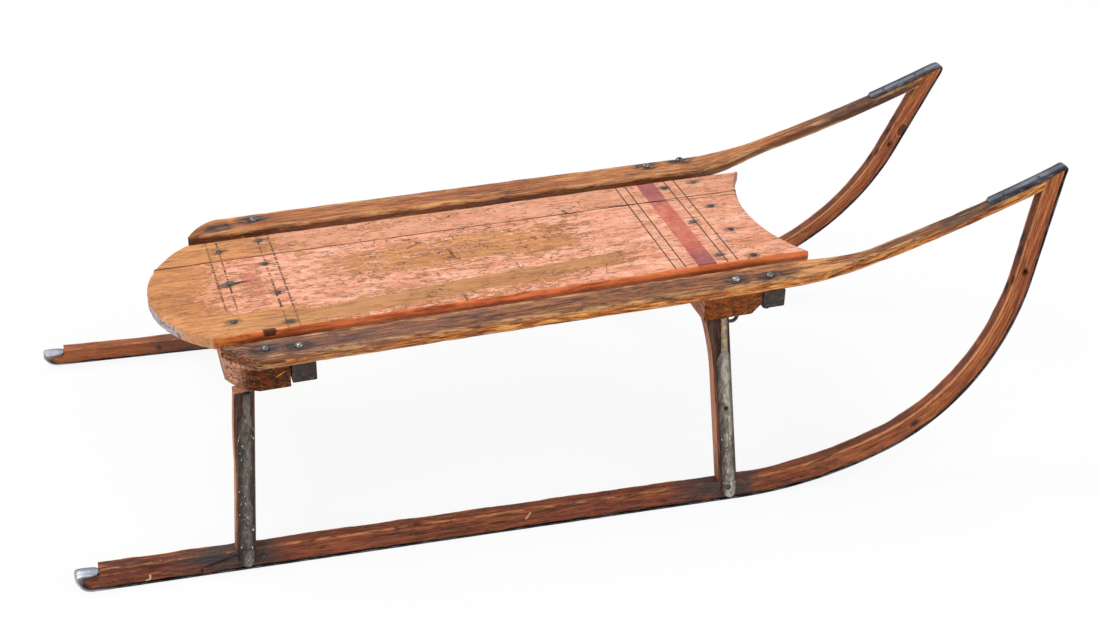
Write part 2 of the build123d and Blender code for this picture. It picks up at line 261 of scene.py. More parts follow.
def railTop(s):  # place and heading at a length along the rail, measured from its rear end
    r = railSizes
    if s <= railStraight:
        return Vector((r["rearX"] + s, 0)), 0.0
    at, heading, left = Vector((r["bendX"], 0)), 0.0, s - railStraight
    for radius, turn in ((r["bendRadius"], r["bendTurn"]), (r["sweepRadius"], r["sweepTurn"])):
        used = min(left, radius * math.radians(turn))
        middle = at + aside(heading) * radius
        heading += used / radius
        at = middle - aside(heading) * radius
        left -= used
        if left <= 0:
            break
    return at, heading


def railEdges(x, bulge):  # inner and outer edge of the rail's plan
    r = railSizes
    inner, outer = r["inner"], r["outer"]
    if x > r["taperStart"]:
        t = min(1, (x - r["taperStart"]) / (r["taperEnd"] - r["taperStart"]))
        inner += (r["outer"] - r["tipWidth"] - r["inner"]) * (3 * t * t - 2 * t ** 3)
    if x < r["rearX"] + r["sweep"]:
        a, b = Vector((r["rearX"], r["inner"])), Vector((r["rearX"] + r["sweep"], r["outer"]))
        chord = (b - a).length
        radius = (chord ** 2 / 4 + bulge ** 2) / (2 * bulge)
        along = (b - a) / chord
        middle = (a + b) / 2 + Vector((along.y, -along.x)) * (radius - bulge)
        outer = middle.y + math.sqrt(max(0, radius ** 2 - (x - middle.x) ** 2))
    return inner, max(outer, inner + 1.5 * mm)


# mesh helpers
def placed(name, data):
    made = bpy.data.objects.new(name, data)
    bpy.context.scene.collection.objects.link(made)
    return made


def showPiece(name, mesh, finish, replaced=()):
    made = placed(name, mesh)
    mesh.materials.clear()
    mesh.materials.append(finishes[finish])
    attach(made, root)
    if replaced:
        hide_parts(*replaced)


def meshFrom(bm, mesh):
    bm.to_mesh(mesh)
    bm.free()
    return mesh


def evaluated(source):  # an object's mesh with its modifiers applied; the object goes
    graph = bpy.context.evaluated_depsgraph_get()
    mesh = bpy.data.meshes.new_from_object(source.evaluated_get(graph), preserve_all_data_layers=True,
                                           depsgraph=graph)
    source.modifiers.clear()
    bpy.data.objects.remove(source)
    return mesh


def cutMesh(mesh, cutters):  # takes closed cutter meshes out of a closed mesh
    body = placed("cutBody", mesh)
    tools = [placed("cutTool", cutter) for cutter in cutters]
    for tool in tools:
        modifier = body.modifiers.new("cut", "BOOLEAN")
        modifier.operation = "DIFFERENCE"
        modifier.solver = "MANIFOLD"
        modifier.object = tool
    result = evaluated(body)
    for tool in tools:
        bpy.data.objects.remove(tool)
    return result


def trimMesh(mesh, point, normal):  # cuts off what lies beyond a plane and closes the cut
    bm = bmesh.new()
    bm.from_mesh(mesh)
    bmesh.ops.bisect_plane(bm, geom=bm.verts[:] + bm.edges[:] + bm.faces[:], dist=1e-6,
                           plane_co=point, plane_no=normal, clear_outer=True)
    edges = [e for e in bm.edges if len(e.link_faces) == 1]
    if edges:
        bmesh.ops.holes_fill(bm, edges=edges, sides=0)
    meshFrom(bm, mesh)


def smoothMesh(mesh, angle):  # smooth shading, with edges sharper than the angle in degrees kept
    bm = bmesh.new()
    bm.from_mesh(mesh)
    for face in bm.faces:
        face.smooth = True
    for edge in sharpEdges(bm, angle):
        edge.smooth = False
    meshFrom(bm, mesh)


def sharpEdges(bm, angle):
    return [e for e in bm.edges if len(e.link_faces) == 2 and e.calc_face_angle(0) > math.radians(angle)]


def sectionRing(width, depth, rounding, counts):  # across, down and edge share round a rounded bar
    across, down, corner = counts
    r = min(rounding, width * 0.49, depth * 0.49)
    right, top, bottom = width / 2 - r, -r, r - depth
    middles = [(right, bottom), (right, top), (-right, top), (-right, bottom)]
    ring = []
    for index, (x, v) in enumerate(middles):
        for i in range(corner + 1):
            a = math.radians(90 * index - 90 + 90 * i / corner)
            ring.append((x + r * math.cos(a), v + r * math.sin(a), 1.0))
        following = middles[(index + 1) % 4]
        begin = Vector((x + r * math.cos(a), v + r * math.sin(a)))
        finish = Vector((following[0] + r * math.cos(a), following[1] + r * math.sin(a)))
        span = across if index % 2 else down
        for i in range(1, span):
            spot = begin.lerp(finish, i / span)
            ring.append((spot.x, spot.y, max(0.0, 1 - 4 * min(i, span - i) / span)))
    return ring


def ringsMesh(name, rings, grain=None, edges=None):  # closed skin over rings; an end ring may be one point
    bm = bmesh.new()
    grid = [[bm.verts.new(p) for p in ring] for ring in rings]
    count = max(len(ring) for ring in rings)
    for a, b in zip(grid, grid[1:]):
        for i in range(count):
            j = (i + 1) % count
            corners = (a[i % len(a)], a[j % len(a)], b[j % len(b)], b[i % len(b)])
            bm.faces.new(list(dict.fromkeys(corners)))
    for cap in (grid[0][::-1], grid[-1]):
        if len(cap) > 2:
            bm.faces.new(cap)
    bmesh.ops.recalc_face_normals(bm, faces=bm.faces)
    mesh = meshFrom(bm, bpy.data.meshes.new(name))
    if grain:
        layer = mesh.attributes.new("grainPlace", "FLOAT_VECTOR", "POINT")
        layer.data.foreach_set("vector", [c for ring in grain for v in ring for c in v])
        worn = mesh.attributes.new("edgeShare", "FLOAT", "POINT")
        worn.data.foreach_set("value", [v for ring in edges for v in ring])
    return mesh


def prismMesh(name, outline):  # a side view outline, drawn right across the sled
    return ringsMesh(name, [[(x, y, z) for x, z in outline] for y in (-0.3, 0.3)])


# wood: four tones from dark to bright, the shares of its rings, pores and veins with their colour, and dirt
woodStops = (0.39, 0.47, 0.54, 0.62)
runnerWood = dict(tones="532718 7E4029 96502F A9633A", line="2A120B", shares=(0.16, 0.80, 0.50), seed=0.0,
                  dirt="38261F", dirtShare=0.40, edge="D98E58", orangeHighlight="DE7A2E", split="120805",
                  bowTones="521F0E 8C4420 B3642F E09550", bowFace="5A322A")
railWood = dict(tones="6C3A22 A0623A BC7A48 D89A62", line="260F07", shares=(0.20, 0.95, 0.75), seed=4.0,
                dirt="503A34", dirtShare=0.46, rub="E3AE74", stain="262226", old="7A5044",
                farTones="94491F C9743A E08F4E F2B478", sideTones="5E2608 A95618 D88232 F6B460")
legWood = dict(tones="3A2018 6C4030 8E5A42 B98468", line="1D0F09", shares=(0.38, 0.70, 0.60), seed=8.0,
               dirt="33261F", dirtShare=0.5)
beamWood = dict(tones="8A563E BC8062 D69C7C E8B89C", line="3A1C10", shares=(0.38, 0.70, 0.60), seed=12.0,
                dirt="4E342C", dirtShare=0.55, endDark="1E0900", endLight="742E00", endFront="A4541A",
                stroke="E69A34")
barWood = dict(tones="1E1917 352E2B 4B413D 6A5C55", line="0E0C0B", shares=(0.38, 0.70, 0.60), seed=30.0,
               dirt="5A4A40", dirtShare=0.3, endDark="382F2C", endLight="4E433E", endFront="4E433E",
               stroke="857564")
deckWood = dict(tones="C27C4A CF8B56 DA985F E6AA74", line="74401F", shares=(0.10, 0.30, 0.20), seed=16.0,
                dirt="9A6238", dirtShare=0.50)
underWood = dict(tones="4A3020 735036 8D6647 A67F5C", line="2E1C10", shares=(0.10, 0.30, 0.20), seed=21.0,
                 dirt="4A3A30", dirtShare=0.6)


def woodTone(place, spec):  # colour, height, tone and grain of wood whose length runs along x
    seed = spec["seed"]
    shift = (seed, seed * 0.37, seed * 0.71)
    broad = place.cloud((4, 24), 3, 0.6, 0.5, shift)
    streak = place.cloud((17, 360), 5, 0.64, 0.6, shift)
    fine = place.cloud((42, 900), 3, 0.65, 0.0, shift)
    band = (broad * 13 + streak * 1.6).maths("FRACT")
    late = band.step(0.50, 0.90) * band.step(1.0, 0.95)
    dash = place.cloud((52, 560), 4, 0.62, 0.3, shift)
    pores = dash.step(0.545, 0.590) * (late * 0.6 + 0.4)
    wander = place.cloud((7, 120), 4, 0.60, 0.9, (seed + 1, 5, 2))
    vein = abs(wander - 0.5).step(0.020, 0.006) * dash.step(0.42, 0.50)
    tone = streak * 0.46 + fine * 0.32 + broad * 0.22
    colour = tone.ramp(woodStops, spec["tones"])
    for mark, share in zip((late, pores, vein), spec["shares"]):
        colour = colour.under(mark * share, spec["line"])
    height = fine * 0.5 + streak * 0.7 - pores * 0.9 - late * 0.35 - vein * 0.6
    return colour, height, tone, fine


def dirtied(colour, place, spec):  # old dirt in broad patches
    patch = place.cloud((14, 34), 5, 0.68, 0.8, (spec["seed"] + 3, 1, 2)).step(0.53, 0.68)
    return colour.under(patch * spec["dirtShare"], spec["dirt"])


runnerKnots = [(240, 1, 0), (200, -2, 0), (212, 3, 0), (256, -3, 0), (247, -7.5, -12),
               (96, -7.5, -8), (60, 7.5, -10)]  # mm: height, across and deep
farKnot = (512.7, 152.2, 247.0)  # mm
runnerScars = [(-82.8, -216.4, 12.6), (-81.2, -216.0, 14.4), (-79.8, -215.6, 16.2), (-78.6, -215.2, 17.8),
               (-477.6, -217.8, 4.4), (-475.8, -217.7, 4.6), (-474.4, -217.5, 5.8), (-473.9, -217.1, 7.6),
               (-474.0, -216.8, 9.2)]  # mm
rearFoot, frontFoot = 0.155, 0.680  # lengths along the runner where the legs stand
splitStart, splitRise = 0.1177, 0.2425  # the long split in the near tail


def makeRunnerFinish():
    s = runnerWood
    board = finishOf("runnerWorn")
    place, edge, spot = board.stored("grainPlace"), board.stored("edgeShare", 2), board.spot()
    along, across, deep = board.parts(place)
    y = board.parts(spot)[1]
    colour, height, tone, fine = woodTone(place, s)
    colour = colour.under(along.step(0.72, 1.12) * 0.75, tone.ramp(woodStops, s["bowTones"]))
    colour = dirtied(colour, place, s)
    # the bow: dark upper face, painted highlight patches on its sides
    onBow = along.step(0.72, 0.90)
    facing = deep.step(-0.0030, -0.0008)
    patchy = place.cloud((20, 60), 4, 0.65, 0.5, (4, 4, 9))
    colour = colour.under(facing * onBow * patchy.step(0.34, 0.52) * 0.75, s["bowFace"])
    bowHighlight = patchy.step(0.50, 0.60) * deep.step(-0.0100, -0.0030) * onBow * (1 - facing)
    colour = colour.under(bowHighlight * 0.55, "D2743A")
    # tails: the near one darker, the far one lighter
    colour = colour.under(along.step(0.14, 0.02) * y.step(0.0, -0.1) * 0.62, "54281E")
    colour = colour.under(along.step(0.30, 0.10) * y.step(0.0, 0.1) * 0.52, "B86A3A")
    rubbed = place.cloud((34, 150), 4, 0.7, 0.3)
    worn = edge.step(0.20, 0.80) * (rubbed + onBow * 0.10).step(0.43, 0.55)
    colour = colour.under(worn * (onBow * 0.20 + 0.70), s["edge"])
    # painted orange highlight streaks on the tails, faint over the rest of the runner
    glow = place.cloud((26, 260), 4, 0.7, 0.5, (11, 0, 0)).step(0.56, 0.66)
    colour = colour.under(glow * along.step(0.20, 0.02) * 0.85, s["orangeHighlight"])
    colour = colour.under(glow * along.step(0.30, 0.50) * 0.14, s["orangeHighlight"])
    # iron soot round the legs' feet and above the shoe
    soot = place.cloud((40, 70), 4, 0.65)
    foot = strongest([along.near(rearFoot, 0.060), along.near(frontFoot, 0.066)]) * soot.step(0.34, 0.52)
    colour = colour.under(foot * (0.85 - y.step(0.0, 0.1) * 0.35), "3D3532")
    colour = colour.under(deep.step(-0.0168, -0.0200) * soot.step(0.30, 0.50) * 0.55, "1C100B")
    # a long split and a bruise in the near tail
    nearSide = y.step(-0.205, -0.212)
    wobble = (tone - 0.5) * 0.008
    line = deep + 0.0137 - (along - splitStart) * splitRise + wobble
    split = abs(line).step(0.0015, 0.0006) * along.within(0.119, 0.156, 0.004) * nearSide
    end = abs(along - splitStart + wobble).step(0.0016, 0.0006) * deep.within(-0.0180, -0.0140, 0.0006)
    split = strongest([split, end * nearSide])
    bruise = along.within(0.092, 0.150, 0.020) * line.step(-0.001, 0.001) * nearSide * soot.step(0.34, 0.50)
    colour = colour.under(bruise * 0.78, "443A37")
    colour = colour.under(split * 0.95, s["split"])
    check = abs(tone - 0.48).step(0.0035, 0.0010)
    check = check * place.cloud((7, 40), 2, 0.5, 0, (2, 5, 1)).step(0.52, 0.60)
    colour = colour.under(check * 0.7, s["line"])
    # knots and bright scars
    knotSpots = [(alongAt(height * mm), across * mm, deep * mm) for height, across, deep in runnerKnots]
    colour = colour.under(halo(place, knotSpots, 0.0012, 0.0056, (0.55, 1, 1)) * 0.9, "26110A")
    bigKnot = halo(spot, [Vector(farKnot) * mm], 0.0030, 0.0078, (0.9, 1, 0.55))
    ringed = spot.cloud((300, 300, 160), 4, 0.7, 1.2)
    colour = colour.under(bigKnot * (ringed.step(0.40, 0.54) * 0.5 + 0.5), "2A120A")
    colour = colour.under(bigKnot.near(0.30, 0.22) * 0.5, "D87C36")
    scars = halo(spot, [Vector(scar) * mm for scar in runnerScars], 0.0006, 0.0014)
    colour = colour.under(scars * 0.9, "F0C79A")
    rough = 0.50 + fine * 0.22 - worn * 0.1
    return closeFinish(colour, rough, height - split * 3.0 - check * 1.2, 0.0005, 0.3)


# mm along and out, in the deck's frame
railBolts = {"right": [(-341.7, 132.4), (-308.4, 136.3), (163.8, 137.2), (202.4, 139.5)],
             "left": [(-308.0, 137.0), (165.0, 141.5), (210.0, 145.4)]}
boltSpots = {hand: [deckPoint(x * mm, side * y * mm, 0) for x, y in railBolts[hand]] for hand, side in hands}


def makeRailFinish():
    s = railWood
    board = finishOf("railWorn")
    place, edge, spot = board.stored("grainPlace"), board.stored("edgeShare", 2), board.spot()
    colour, height, tone, fine = woodTone(place, s)
    along, across, deep = board.parts(place)
    x, y, z = board.parts(spot)
    far = y.step(-0.02, 0.02)
    near = 1 - far
    topFace = deep.step(-0.003, -0.001)
    colour = colour.under(far * 0.45, tone.ramp(woodStops, s["farTones"]))
    grey = place.cloud((12, 70), 4, 0.66, 0.6, (3, 6, 6))
    colour = colour.under(near * x.step(-0.02, -0.30) * (grey.step(0.38, 0.54) * 0.55 + 0.30), s["old"])
    colour = colour.under(x.step(0.30, 0.36) * (grey.step(0.40, 0.58) * 0.5 + 0.2), "6E4630")
    # the sides: golden on the near rail, painted shade on the far one
    side = deep.step(-0.0016, -0.0034) * deep.step(-0.0129, -0.0112)
    gold = place.cloud((30, 330), 5, 0.66, 0.8, (7, 0, 0)).ramp(woodStops, s["sideTones"])
    front = x.step(-0.34, -0.10)
    colour = colour.under(side * (front * 0.55 + 0.40) * near, gold)
    colour = colour.under(side * far * 0.72, "542C16")
    colour = dirtied(colour, place, s)
    # rubbed edges, chips and worm tracks
    rubbed = place.cloud((26, 130), 4, 0.7, 0.3)
    worn = edge.step(0.25, 0.9) * rubbed.step(0.46, 0.58)
    colour = colour.under(worn * (x.step(-0.365, -0.33) * 0.45 + 0.15), s["rub"])
    chipped = place.cloud((60, 240), 3, 0.6, 0.5, (5, 2, 0)).step(0.60, 0.66) * x.step(-0.372, -0.350)
    colour = colour.under(chipped * side * (1 - front * 0.8) * 0.9, "EE9A33")
    worm = place.cloud((150, 620), 3, 0.6, 1.5, (2, 7, 0)).step(0.60, 0.68) * x.near(-0.19, 0.10)
    colour = colour.under(worm * topFace * 0.75, s["line"])
    # the torn rear end, long cracks and fine checks
    torn = x.step(-0.340, -0.368) * (1 - far * 0.7)
    layer = abs(place.cloud((26, 330), 4, 0.7, 0.6, (1, 9, 0)) - 0.5).step(0.034, 0.010) * torn
    colour = colour.under(layer * 0.90, "241008")
    long = abs(place.cloud((5, 150), 3, 0.6, 0.3, (6, 2, 3)) - 0.5).step(0.011, 0.003)
    long = long * place.cloud((9, 60), 2, 0.5, 0, (1, 1, 4)).step(0.47, 0.53)
    colour = colour.under(long * 0.85, "2A140C")
    check = abs(tone - 0.485).step(0.0035, 0.0010)
    check = check * place.cloud((6, 36), 2, 0.5, 0, (2, 5, 1)).step(0.50, 0.58)
    colour = colour.under(check * 0.7, s["line"])
    # a rubbed golden spot just past the bend, and the strap's stain
    goldSpot = x.near(0.262, 0.034) * near * deep.step(-0.003, -0.0005) * rubbed.step(0.40, 0.52)
    colour = colour.under(goldSpot * 0.75, "EDA763")
    strapStain = x.near(0.430, 0.052) * rubbed.step(0.36, 0.54) * deep.step(-0.0095, -0.002)
    colour = colour.under(strapStain * 0.75, "3A2E30")
    # iron stains round the bolts, a blot and an empty hole
    smoke = place.cloud((60, 190), 4, 0.65, 0.8)
    spots = boltSpots["right"] + boltSpots["left"] + [deckPoint(-349 * mm, 128.5 * mm, 0)]
    stain = halo(spot, spots, 0.0050, 0.0140, (0.55, 1, 1)).maths("POWER", 1.3)
    stain = stain * (smoke.step(0.36, 0.60) * 0.75 + 0.25)
    colour = colour.under((stain * 1.25).maths("MINIMUM", 0.92), s["stain"])
    blot = halo(spot, [deckPoint(-118 * mm, -129 * mm, 0)], 0.002, 0.010, (0.5, 1, 1))
    colour = colour.under(blot * smoke.step(0.35, 0.55) * 0.55, "3C3238")
    hole = halo(spot, [deckPoint(-338.5 * mm, 134 * mm, 0)], 0.0012, 0.0022)
    colour = colour.under(hole, "0C0706")
    height = height - layer * 2.5 - check * 1.2 - long * 1.5 - hole * 4.0
    return closeFinish(colour, 0.44 + fine * 0.28, height, 0.0006, 0.35)


deckNails = [(-356, 74.7), (-354, 5.1), (-361, 0.7), (-363.5, -73.4), (-310, 88.1), (-312.5, 36.1),
             (-310, -27.9), (-308.8, -88.3), (165.9, 82.6), (167.7, -4.3), (167, -82.6), (204.5, 87.5),
             (202.1, 25.8), (202.9, -31.5), (203.1, -93)]  # mm, in the deck's frame
deckStripes = [(110.6, 1.6), (122.3, 1.6), (171.0, 1.6), (183.0, 1.6),
               (-367.9, 2.2), (-356.4, 2.2), (-311.8, 2.2), (-299.5, 2.2)]  # mm: place along and width
deckPaint = dict(frontBand=(0.1365, 0.1580), rearBand=(-0.3430, -0.3215), tones="D68A68 EDA281 F6B193 FFC6AA",
                 rim="7A4728", stripe="241711", red="C25A48", redLight="D67A62", mauve="944A56",
                 sideDark="B44A1E", sideLight="FA8748", rimBare="8A6A4A", rimGrey="C0B2B8")
deckSizes = dict(half=100 * mm, joint=54.5 * mm, gap=0.8 * mm, thickness=13 * mm, rearCorner=-388 * mm,
                 rearBulge=54 * mm, frontCorner=267 * mm, frontHollow=30 * mm, edgeRound=3.2 * mm)
hollowRadius = (deckSizes["half"] ** 2 + deckSizes["frontHollow"] ** 2) / (2 * deckSizes["frontHollow"])
hollowCentre = deckSizes["frontCorner"] - deckSizes["frontHollow"] + hollowRadius


def paintLeft(x, y, big, flake, chips, band):  # above about 0.47 where the deck's paint is left
    narrow = y.step(0.0535, 0.0555)
    nearRear = x.step(-0.27, -0.31) * y.step(-0.050, -0.062)
    rearBare = x.step(-0.352, -0.402) * 0.080 + x.step(-0.27, -0.35) * 0.016 + nearRear * 0.075
    sideBare = y.step(-0.058, -0.066) * x.step(0.10, 0.00) * 0.026
    patchLong = (x + 0.11 + (big - 0.5) * 0.2).near(0, 0.17)
    patch = patchLong * (y - 0.008 + (flake - 0.5) * 0.03).near(0, 0.038) * 0.085
    sound = x.step(-0.02, 0.12) * 0.045 + narrow * x.step(-0.33, -0.20) * 0.03
    field = big * 0.22 + flake * 0.52 + chips * 0.26
    return field + sound - rearBare - sideBare - band - patch - narrow * x.step(-0.27, -0.33) * 0.06 + 0.014


def makeDeckCoat(place, x, y, fine):  # the pink paint, its open grain, and the red bands across it
    d, board = deckPaint, place.board
    cloudy = place.cloud((16, 80), 5, 0.68, 0.5, (1, 2, 3))
    coat = cloudy.ramp((0.34, 0.46, 0.56, 0.70), d["tones"])
    coat = coat.under(fine.step(0.52, 0.34) * 0.35, "D08C64")
    coat = coat.under(y.step(0.0535, 0.0555) * (x.step(-0.10, -0.30) * 0.2 + 0.45), "D08F6A")
    coat = coat.under(x.step(-0.34, -0.39) * 0.5, "E0965F")
    dash = place.cloud((62, 520), 4, 0.66, 0.9, (8, 3, 0)).step(0.575, 0.62)
    speck = place.cloud((190, 260), 3, 0.6, 0.8, (3, 8, 1)).step(0.635, 0.675)
    opened = strongest([dash, speck * x.step(-0.05, 0.10)])
    coat = coat.under(opened * 0.82, "7E4B2A")
    redTone = place.cloud((60, 30), 4, 0.6, 0.3, (4, 4, 0))
    red = board.blend(redTone.step(0.35, 0.65), d["red"], d["redLight"])
    red = red.under(abs(y + 0.006).step(0.040, 0.082) * 0.8, d["mauve"])
    frontBand = x.within(*d["frontBand"], 0.0005)
    coat = coat.under(frontBand * 0.93, red)
    coat = coat.under(frontBand * y.step(-0.0955, -0.0965) * 0.8, "5E3440")
    faded = place.cloud((28, 60), 3, 0.6, 0.4, (6, 1, 0)).step(0.40, 0.56) * abs(y - 0.01).step(0.095, 0.07)
    coat = coat.under(x.within(*d["rearBand"], 0.0008) * faded * 0.62, "C4605A")
    return coat, opened


def scratches(place, x):  # thin and dark, over the middle and the front
    marks = []
    for turn, seed in ((0.5, 1.0), (-0.6, 2.0), (1.2, 3.0), (0.1, 4.0)):
        bent = place.board.turned(place, (0, 0, turn)).cloud((16, 44), 2, 0.5, 0.9, (seed, seed, 0))
        held = place.cloud((22, 32), 2, 0.5, 0, (seed * 3, 0, 0)).step(0.52, 0.57)
        marks.append(abs(bent - 0.5).step(0.0075, 0.0028) * held)
    return strongest(marks) * x.step(-0.27, -0.20) * (1 - x.step(0.03, 0.09) * 0.6)


def makeDeckFinish():
    d = deckPaint
    board = finishOf("deckOldPaint")
    lowered = board.vector("SUBTRACT", board.spot(), (0, 0, stance["deckHeight"]))
    place = board.turned(lowered, (0, stance["pitch"], 0))
    x, y, z = board.parts(place)
    wood, woodHeight, tone, fine = woodTone(place, deckWood)
    wood = dirtied(wood, place, deckWood)
    big = place.cloud((5, 20), 4, 0.62, 0.7, (2.3, 0.4, 0))
    flake = place.cloud((46, 150), 5, 0.70, 1.5)
    chips = place.cloud((130, 340), 4, 0.68, 1.0, (5, 0, 0))
    # the paint, worn off in a slanting band on the near side and in patches
    centre = y + 0.0810 - (x + 0.263) * 0.075 + (big - 0.5) * 0.012
    band = abs(centre).step(0.0142, 0.0108) * x.step(0.13, 0.03) * (x.step(-0.36, -0.30) * 0.13 + 0.04)
    left = paintLeft(x, y, big, flake, chips, band)
    mask = left.step(0.465, 0.475)
    coat, opened = makeDeckCoat(place, x, y, fine)
    colour = wood.under(band.step(0.02, 0.10) * 0.5, "B58157").under(mask, coat)
    # a painted shadow line along the torn edge of the paint
    colour = colour.under(left.near(0.467, 0.013) * 0.62, d["rim"])
    # thin stripes across
    lines = []
    for at, wide in deckStripes:
        away = abs(x - at * mm + (fine - 0.5) * 0.0006)
        lines.append(away.step(wide * 0.62 * mm, wide * 0.38 * mm))
    broken = place.cloud((30, 300, 30), 3, 0.6, 0.0, (9, 1, 0))
    stripes = strongest(lines) * (broken - x.step(-0.1, -0.2) * 0.27 - 0.20).step(-0.02, 0.04)
    unworn = y.step(-0.104, -0.094) * (1 - x.step(-0.350, -0.352) * y.step(-0.045, -0.060))
    colour = colour.under(stripes * (mask * 0.35 + 0.58) * unworn, d["stripe"])
    scratch = scratches(place, x)
    colour = colour.under(scratch * 0.82, "553021")
    # the rear wood darkens, the front rim is bare and splintered
    colour = colour.under(x.step(-0.350, -0.410) * (big.step(0.40, 0.56) * 0.34 + 0.06), "AC6632")
    fromHollow = board.node("ShaderNodeVectorMath", {"operation": "DISTANCE"},
                            {0: board.join(x, y, 0.0), 1: (hollowCentre, 0, 0)}, out=1)
    frontRim = (fromHollow + (flake - 0.5) * 0.006).step(0.1845, 0.1825)
    colour = colour.under(frontRim * 0.75, "8A5A34")
    splinter = x.within(0.205, 0.262, 0.008) * (y - 0.052 + (chips - 0.5) * 0.03).near(0, 0.006)
    colour = colour.under(splinter * chips.step(0.44, 0.52) * 0.8, "D79A55")
    # rounded edges: orange varnish along the sides, grey flaked paint round the rear rim
    edgeTone = place.cloud((22, 160), 4, 0.66, 0.3, (6, 0, 0))
    edge = board.blend(edgeTone.step(0.36, 0.62), d["sideDark"], d["sideLight"])
    edge = edge.under(x.step(-0.05, 0.15) * 0.45, "F28444")
    # painted shade on the lower part of the sides, down in the gap beside the rails
    edge = edge.under(z.step(-0.0050, -0.0080) * 0.62, "5A2410")
    edge = edge.under(x.step(-0.33, -0.385) * chips.step(0.47, 0.53) * 0.7, "DE8A2E")
    edge = edge.under(x.step(-0.30, -0.38) * flake.step(0.50, 0.42) * 0.5, "5E2A14")
    colour = colour.under(abs(y).step(0.0976, 0.0990) * 0.92, edge)
    chip = (x + 0.3315 + (flake - 0.5) * 0.01).near(0, 0.0085)
    chip = chip * y.step(-0.0945, -0.0975) * z.step(-0.0085, -0.004)
    colour = colour.under(chip.step(0.3, 0.5) * 0.92, "3A1C12")
    rimFlake = place.cloud((240, 240), 5, 0.70, 0.6)
    rim = board.blend(rimFlake.step(0.42, 0.50), d["rimBare"], d["rimGrey"])
    rim = rim.under(rimFlake.step(0.36, 0.30) * 0.8, "3E2A1E")
    goldRim = abs(y).step(0.062, 0.084) * (rimFlake.step(0.38, 0.50) * 0.6 + 0.4)
    rim = rim.under(goldRim * 0.75, "D98A35")
    colour = colour.under((z + (rimFlake - 0.5) * 0.004).step(-0.0012, -0.0028) * x.step(-0.386, -0.391), rim)
    plain = dirtied(woodTone(place, underWood)[0], place, underWood)
    colour = colour.under(z.step(-0.0120, -0.0128), plain)
    # nails stain the wood, a crack opens at the rear middle pair, and the joint shows as a dark line
    nails = halo(place, [(a * mm, b * mm, 0) for a, b in deckNails], 0.0028, 0.0075, (0.6, 1, 1))
    colour = colour.under(nails * place.cloud((90, 330), 4, 0.7).step(0.36, 0.54) * 0.8, "3A2620")
    crackY = y - 0.0030 - (x + 0.35) * 0.10 + (tone - 0.5) * 0.006
    crackRun = x.step(-0.374, -0.350) * x.step(-0.324, -0.345)
    crack = (abs(crackY) + x.step(-0.356, -0.322) * 0.0024).step(0.0034, 0.0018) * crackRun.step(0.05, 0.9)
    seamY = y - 0.0585 + (x - 0.06) * 0.072 + (tone - 0.5) * 0.008
    seam = abs(seamY).step(0.0009, 0.0002) * x.within(0.07, 0.24, 0.012)
    cracks = strongest([crack, seam])
    colour = colour.under(cracks * 0.92, "1E110C")
    joint = abs(y - deckSizes["joint"]).step(0.0012, 0.0005) * place.cloud((14, 20), 3, 0.6).step(0.30, 0.42)
    colour = colour.under(joint * 0.80, "3A2114")
    marks = cracks * 4.0 + scratch * 0.8 + opened * mask * 0.7 + chip * 2.0
    height = mask * 0.9 + woodHeight * (1 - mask * 0.5) - marks
    return closeFinish(colour, 0.60 - mask * 0.10 + fine * 0.14, height, 0.0004, 0.3)


def facingOf(board, axis):  # how far a face of a softened piece looks along an axis, either way
    return abs(board.parts(board.stored("facing"))[axis])


def makeBeamFinish(name, spec):
    board = finishOf(name)
    spot = board.spot()
    x, y, z = board.parts(spot)
    place = board.join(y, x, z)
    colour, height, tone, fine = woodTone(place, spec)
    colour = dirtied(colour, place, spec)
    rings = spot.cloud((90, 20, 170), 5, 0.70, 1.6)
    ends = facingOf(board, 1).step(0.6, 0.9) * abs(y).step(0.12, 0.14)
    endColour = board.blend(rings.step(0.42, 0.60), spec["endDark"], spec["endLight"])
    endColour = endColour.under(x.step(-0.05, 0.05) * rings.step(0.34, 0.56) * 0.6, spec["endFront"])
    colour = colour.under(ends * 0.96, endColour)
    stroke = board.turned(spot, (0, 0.55, 0)).cloud((30, 40, 210), 3, 0.6, 0.8, (4, 2, 1)).step(0.645, 0.675)
    flecks = spot.cloud((90, 40, 170), 5, 0.72, 0.8, (4, 7, 1)).step(0.57, 0.62)
    bright = strongest([stroke, flecks * 0.30]) * (ends * 0.92 + 0.08)
    colour = colour.under(bright * 0.85, spec["stroke"])
    return closeFinish(colour, 0.50 + fine * 0.2, height + bright * 0.4, 0.0006, 0.16)


def makeLegFinish():
    board = finishOf("legWorn")
    x, y, z = board.parts(board.spot())
    onSide = board.join(x + y.maths("GREATER_THAN", 0) * 0.7, abs(y), z)
    a, b, c = board.parts(board.turned(onSide, (-math.radians(22), 0, 0)))
    place = board.join(c, a, b)  # a leg's length runs along x, on either side
    colour, height, tone, fine = woodTone(place, legWood)
    colour = dirtied(colour, place, legWood)
    scuff = place.cloud((22, 170), 4, 0.7, 0.4, (5, 1, 0)).step(0.56, 0.64)
    colour = colour.under(scuff * 0.55, "C79A80")
    outward = facingOf(board, 1).step(0.5, 0.85)
    # painted shade on the faces looking outwards, beside the brace, deeper towards the top
    colour = colour.under(outward * (z.step(0.105, 0.165) * 0.45 + 0.25), "2C1E19")
    colour = colour.under((1 - outward) * (tone.step(0.42, 0.56) * 0.45 + 0.42), "DC9672")
    # painted shade at the top of the leg, under the beam
    colour = colour.under(z.step(0.145, 0.180) * 0.30, "2A1A12")
    colour = colour.under(z.step(0.050, 0.028) * 0.45, "30241E")
    return closeFinish(colour, 0.55 + fine * 0.2, height, 0.0006, 0.3)


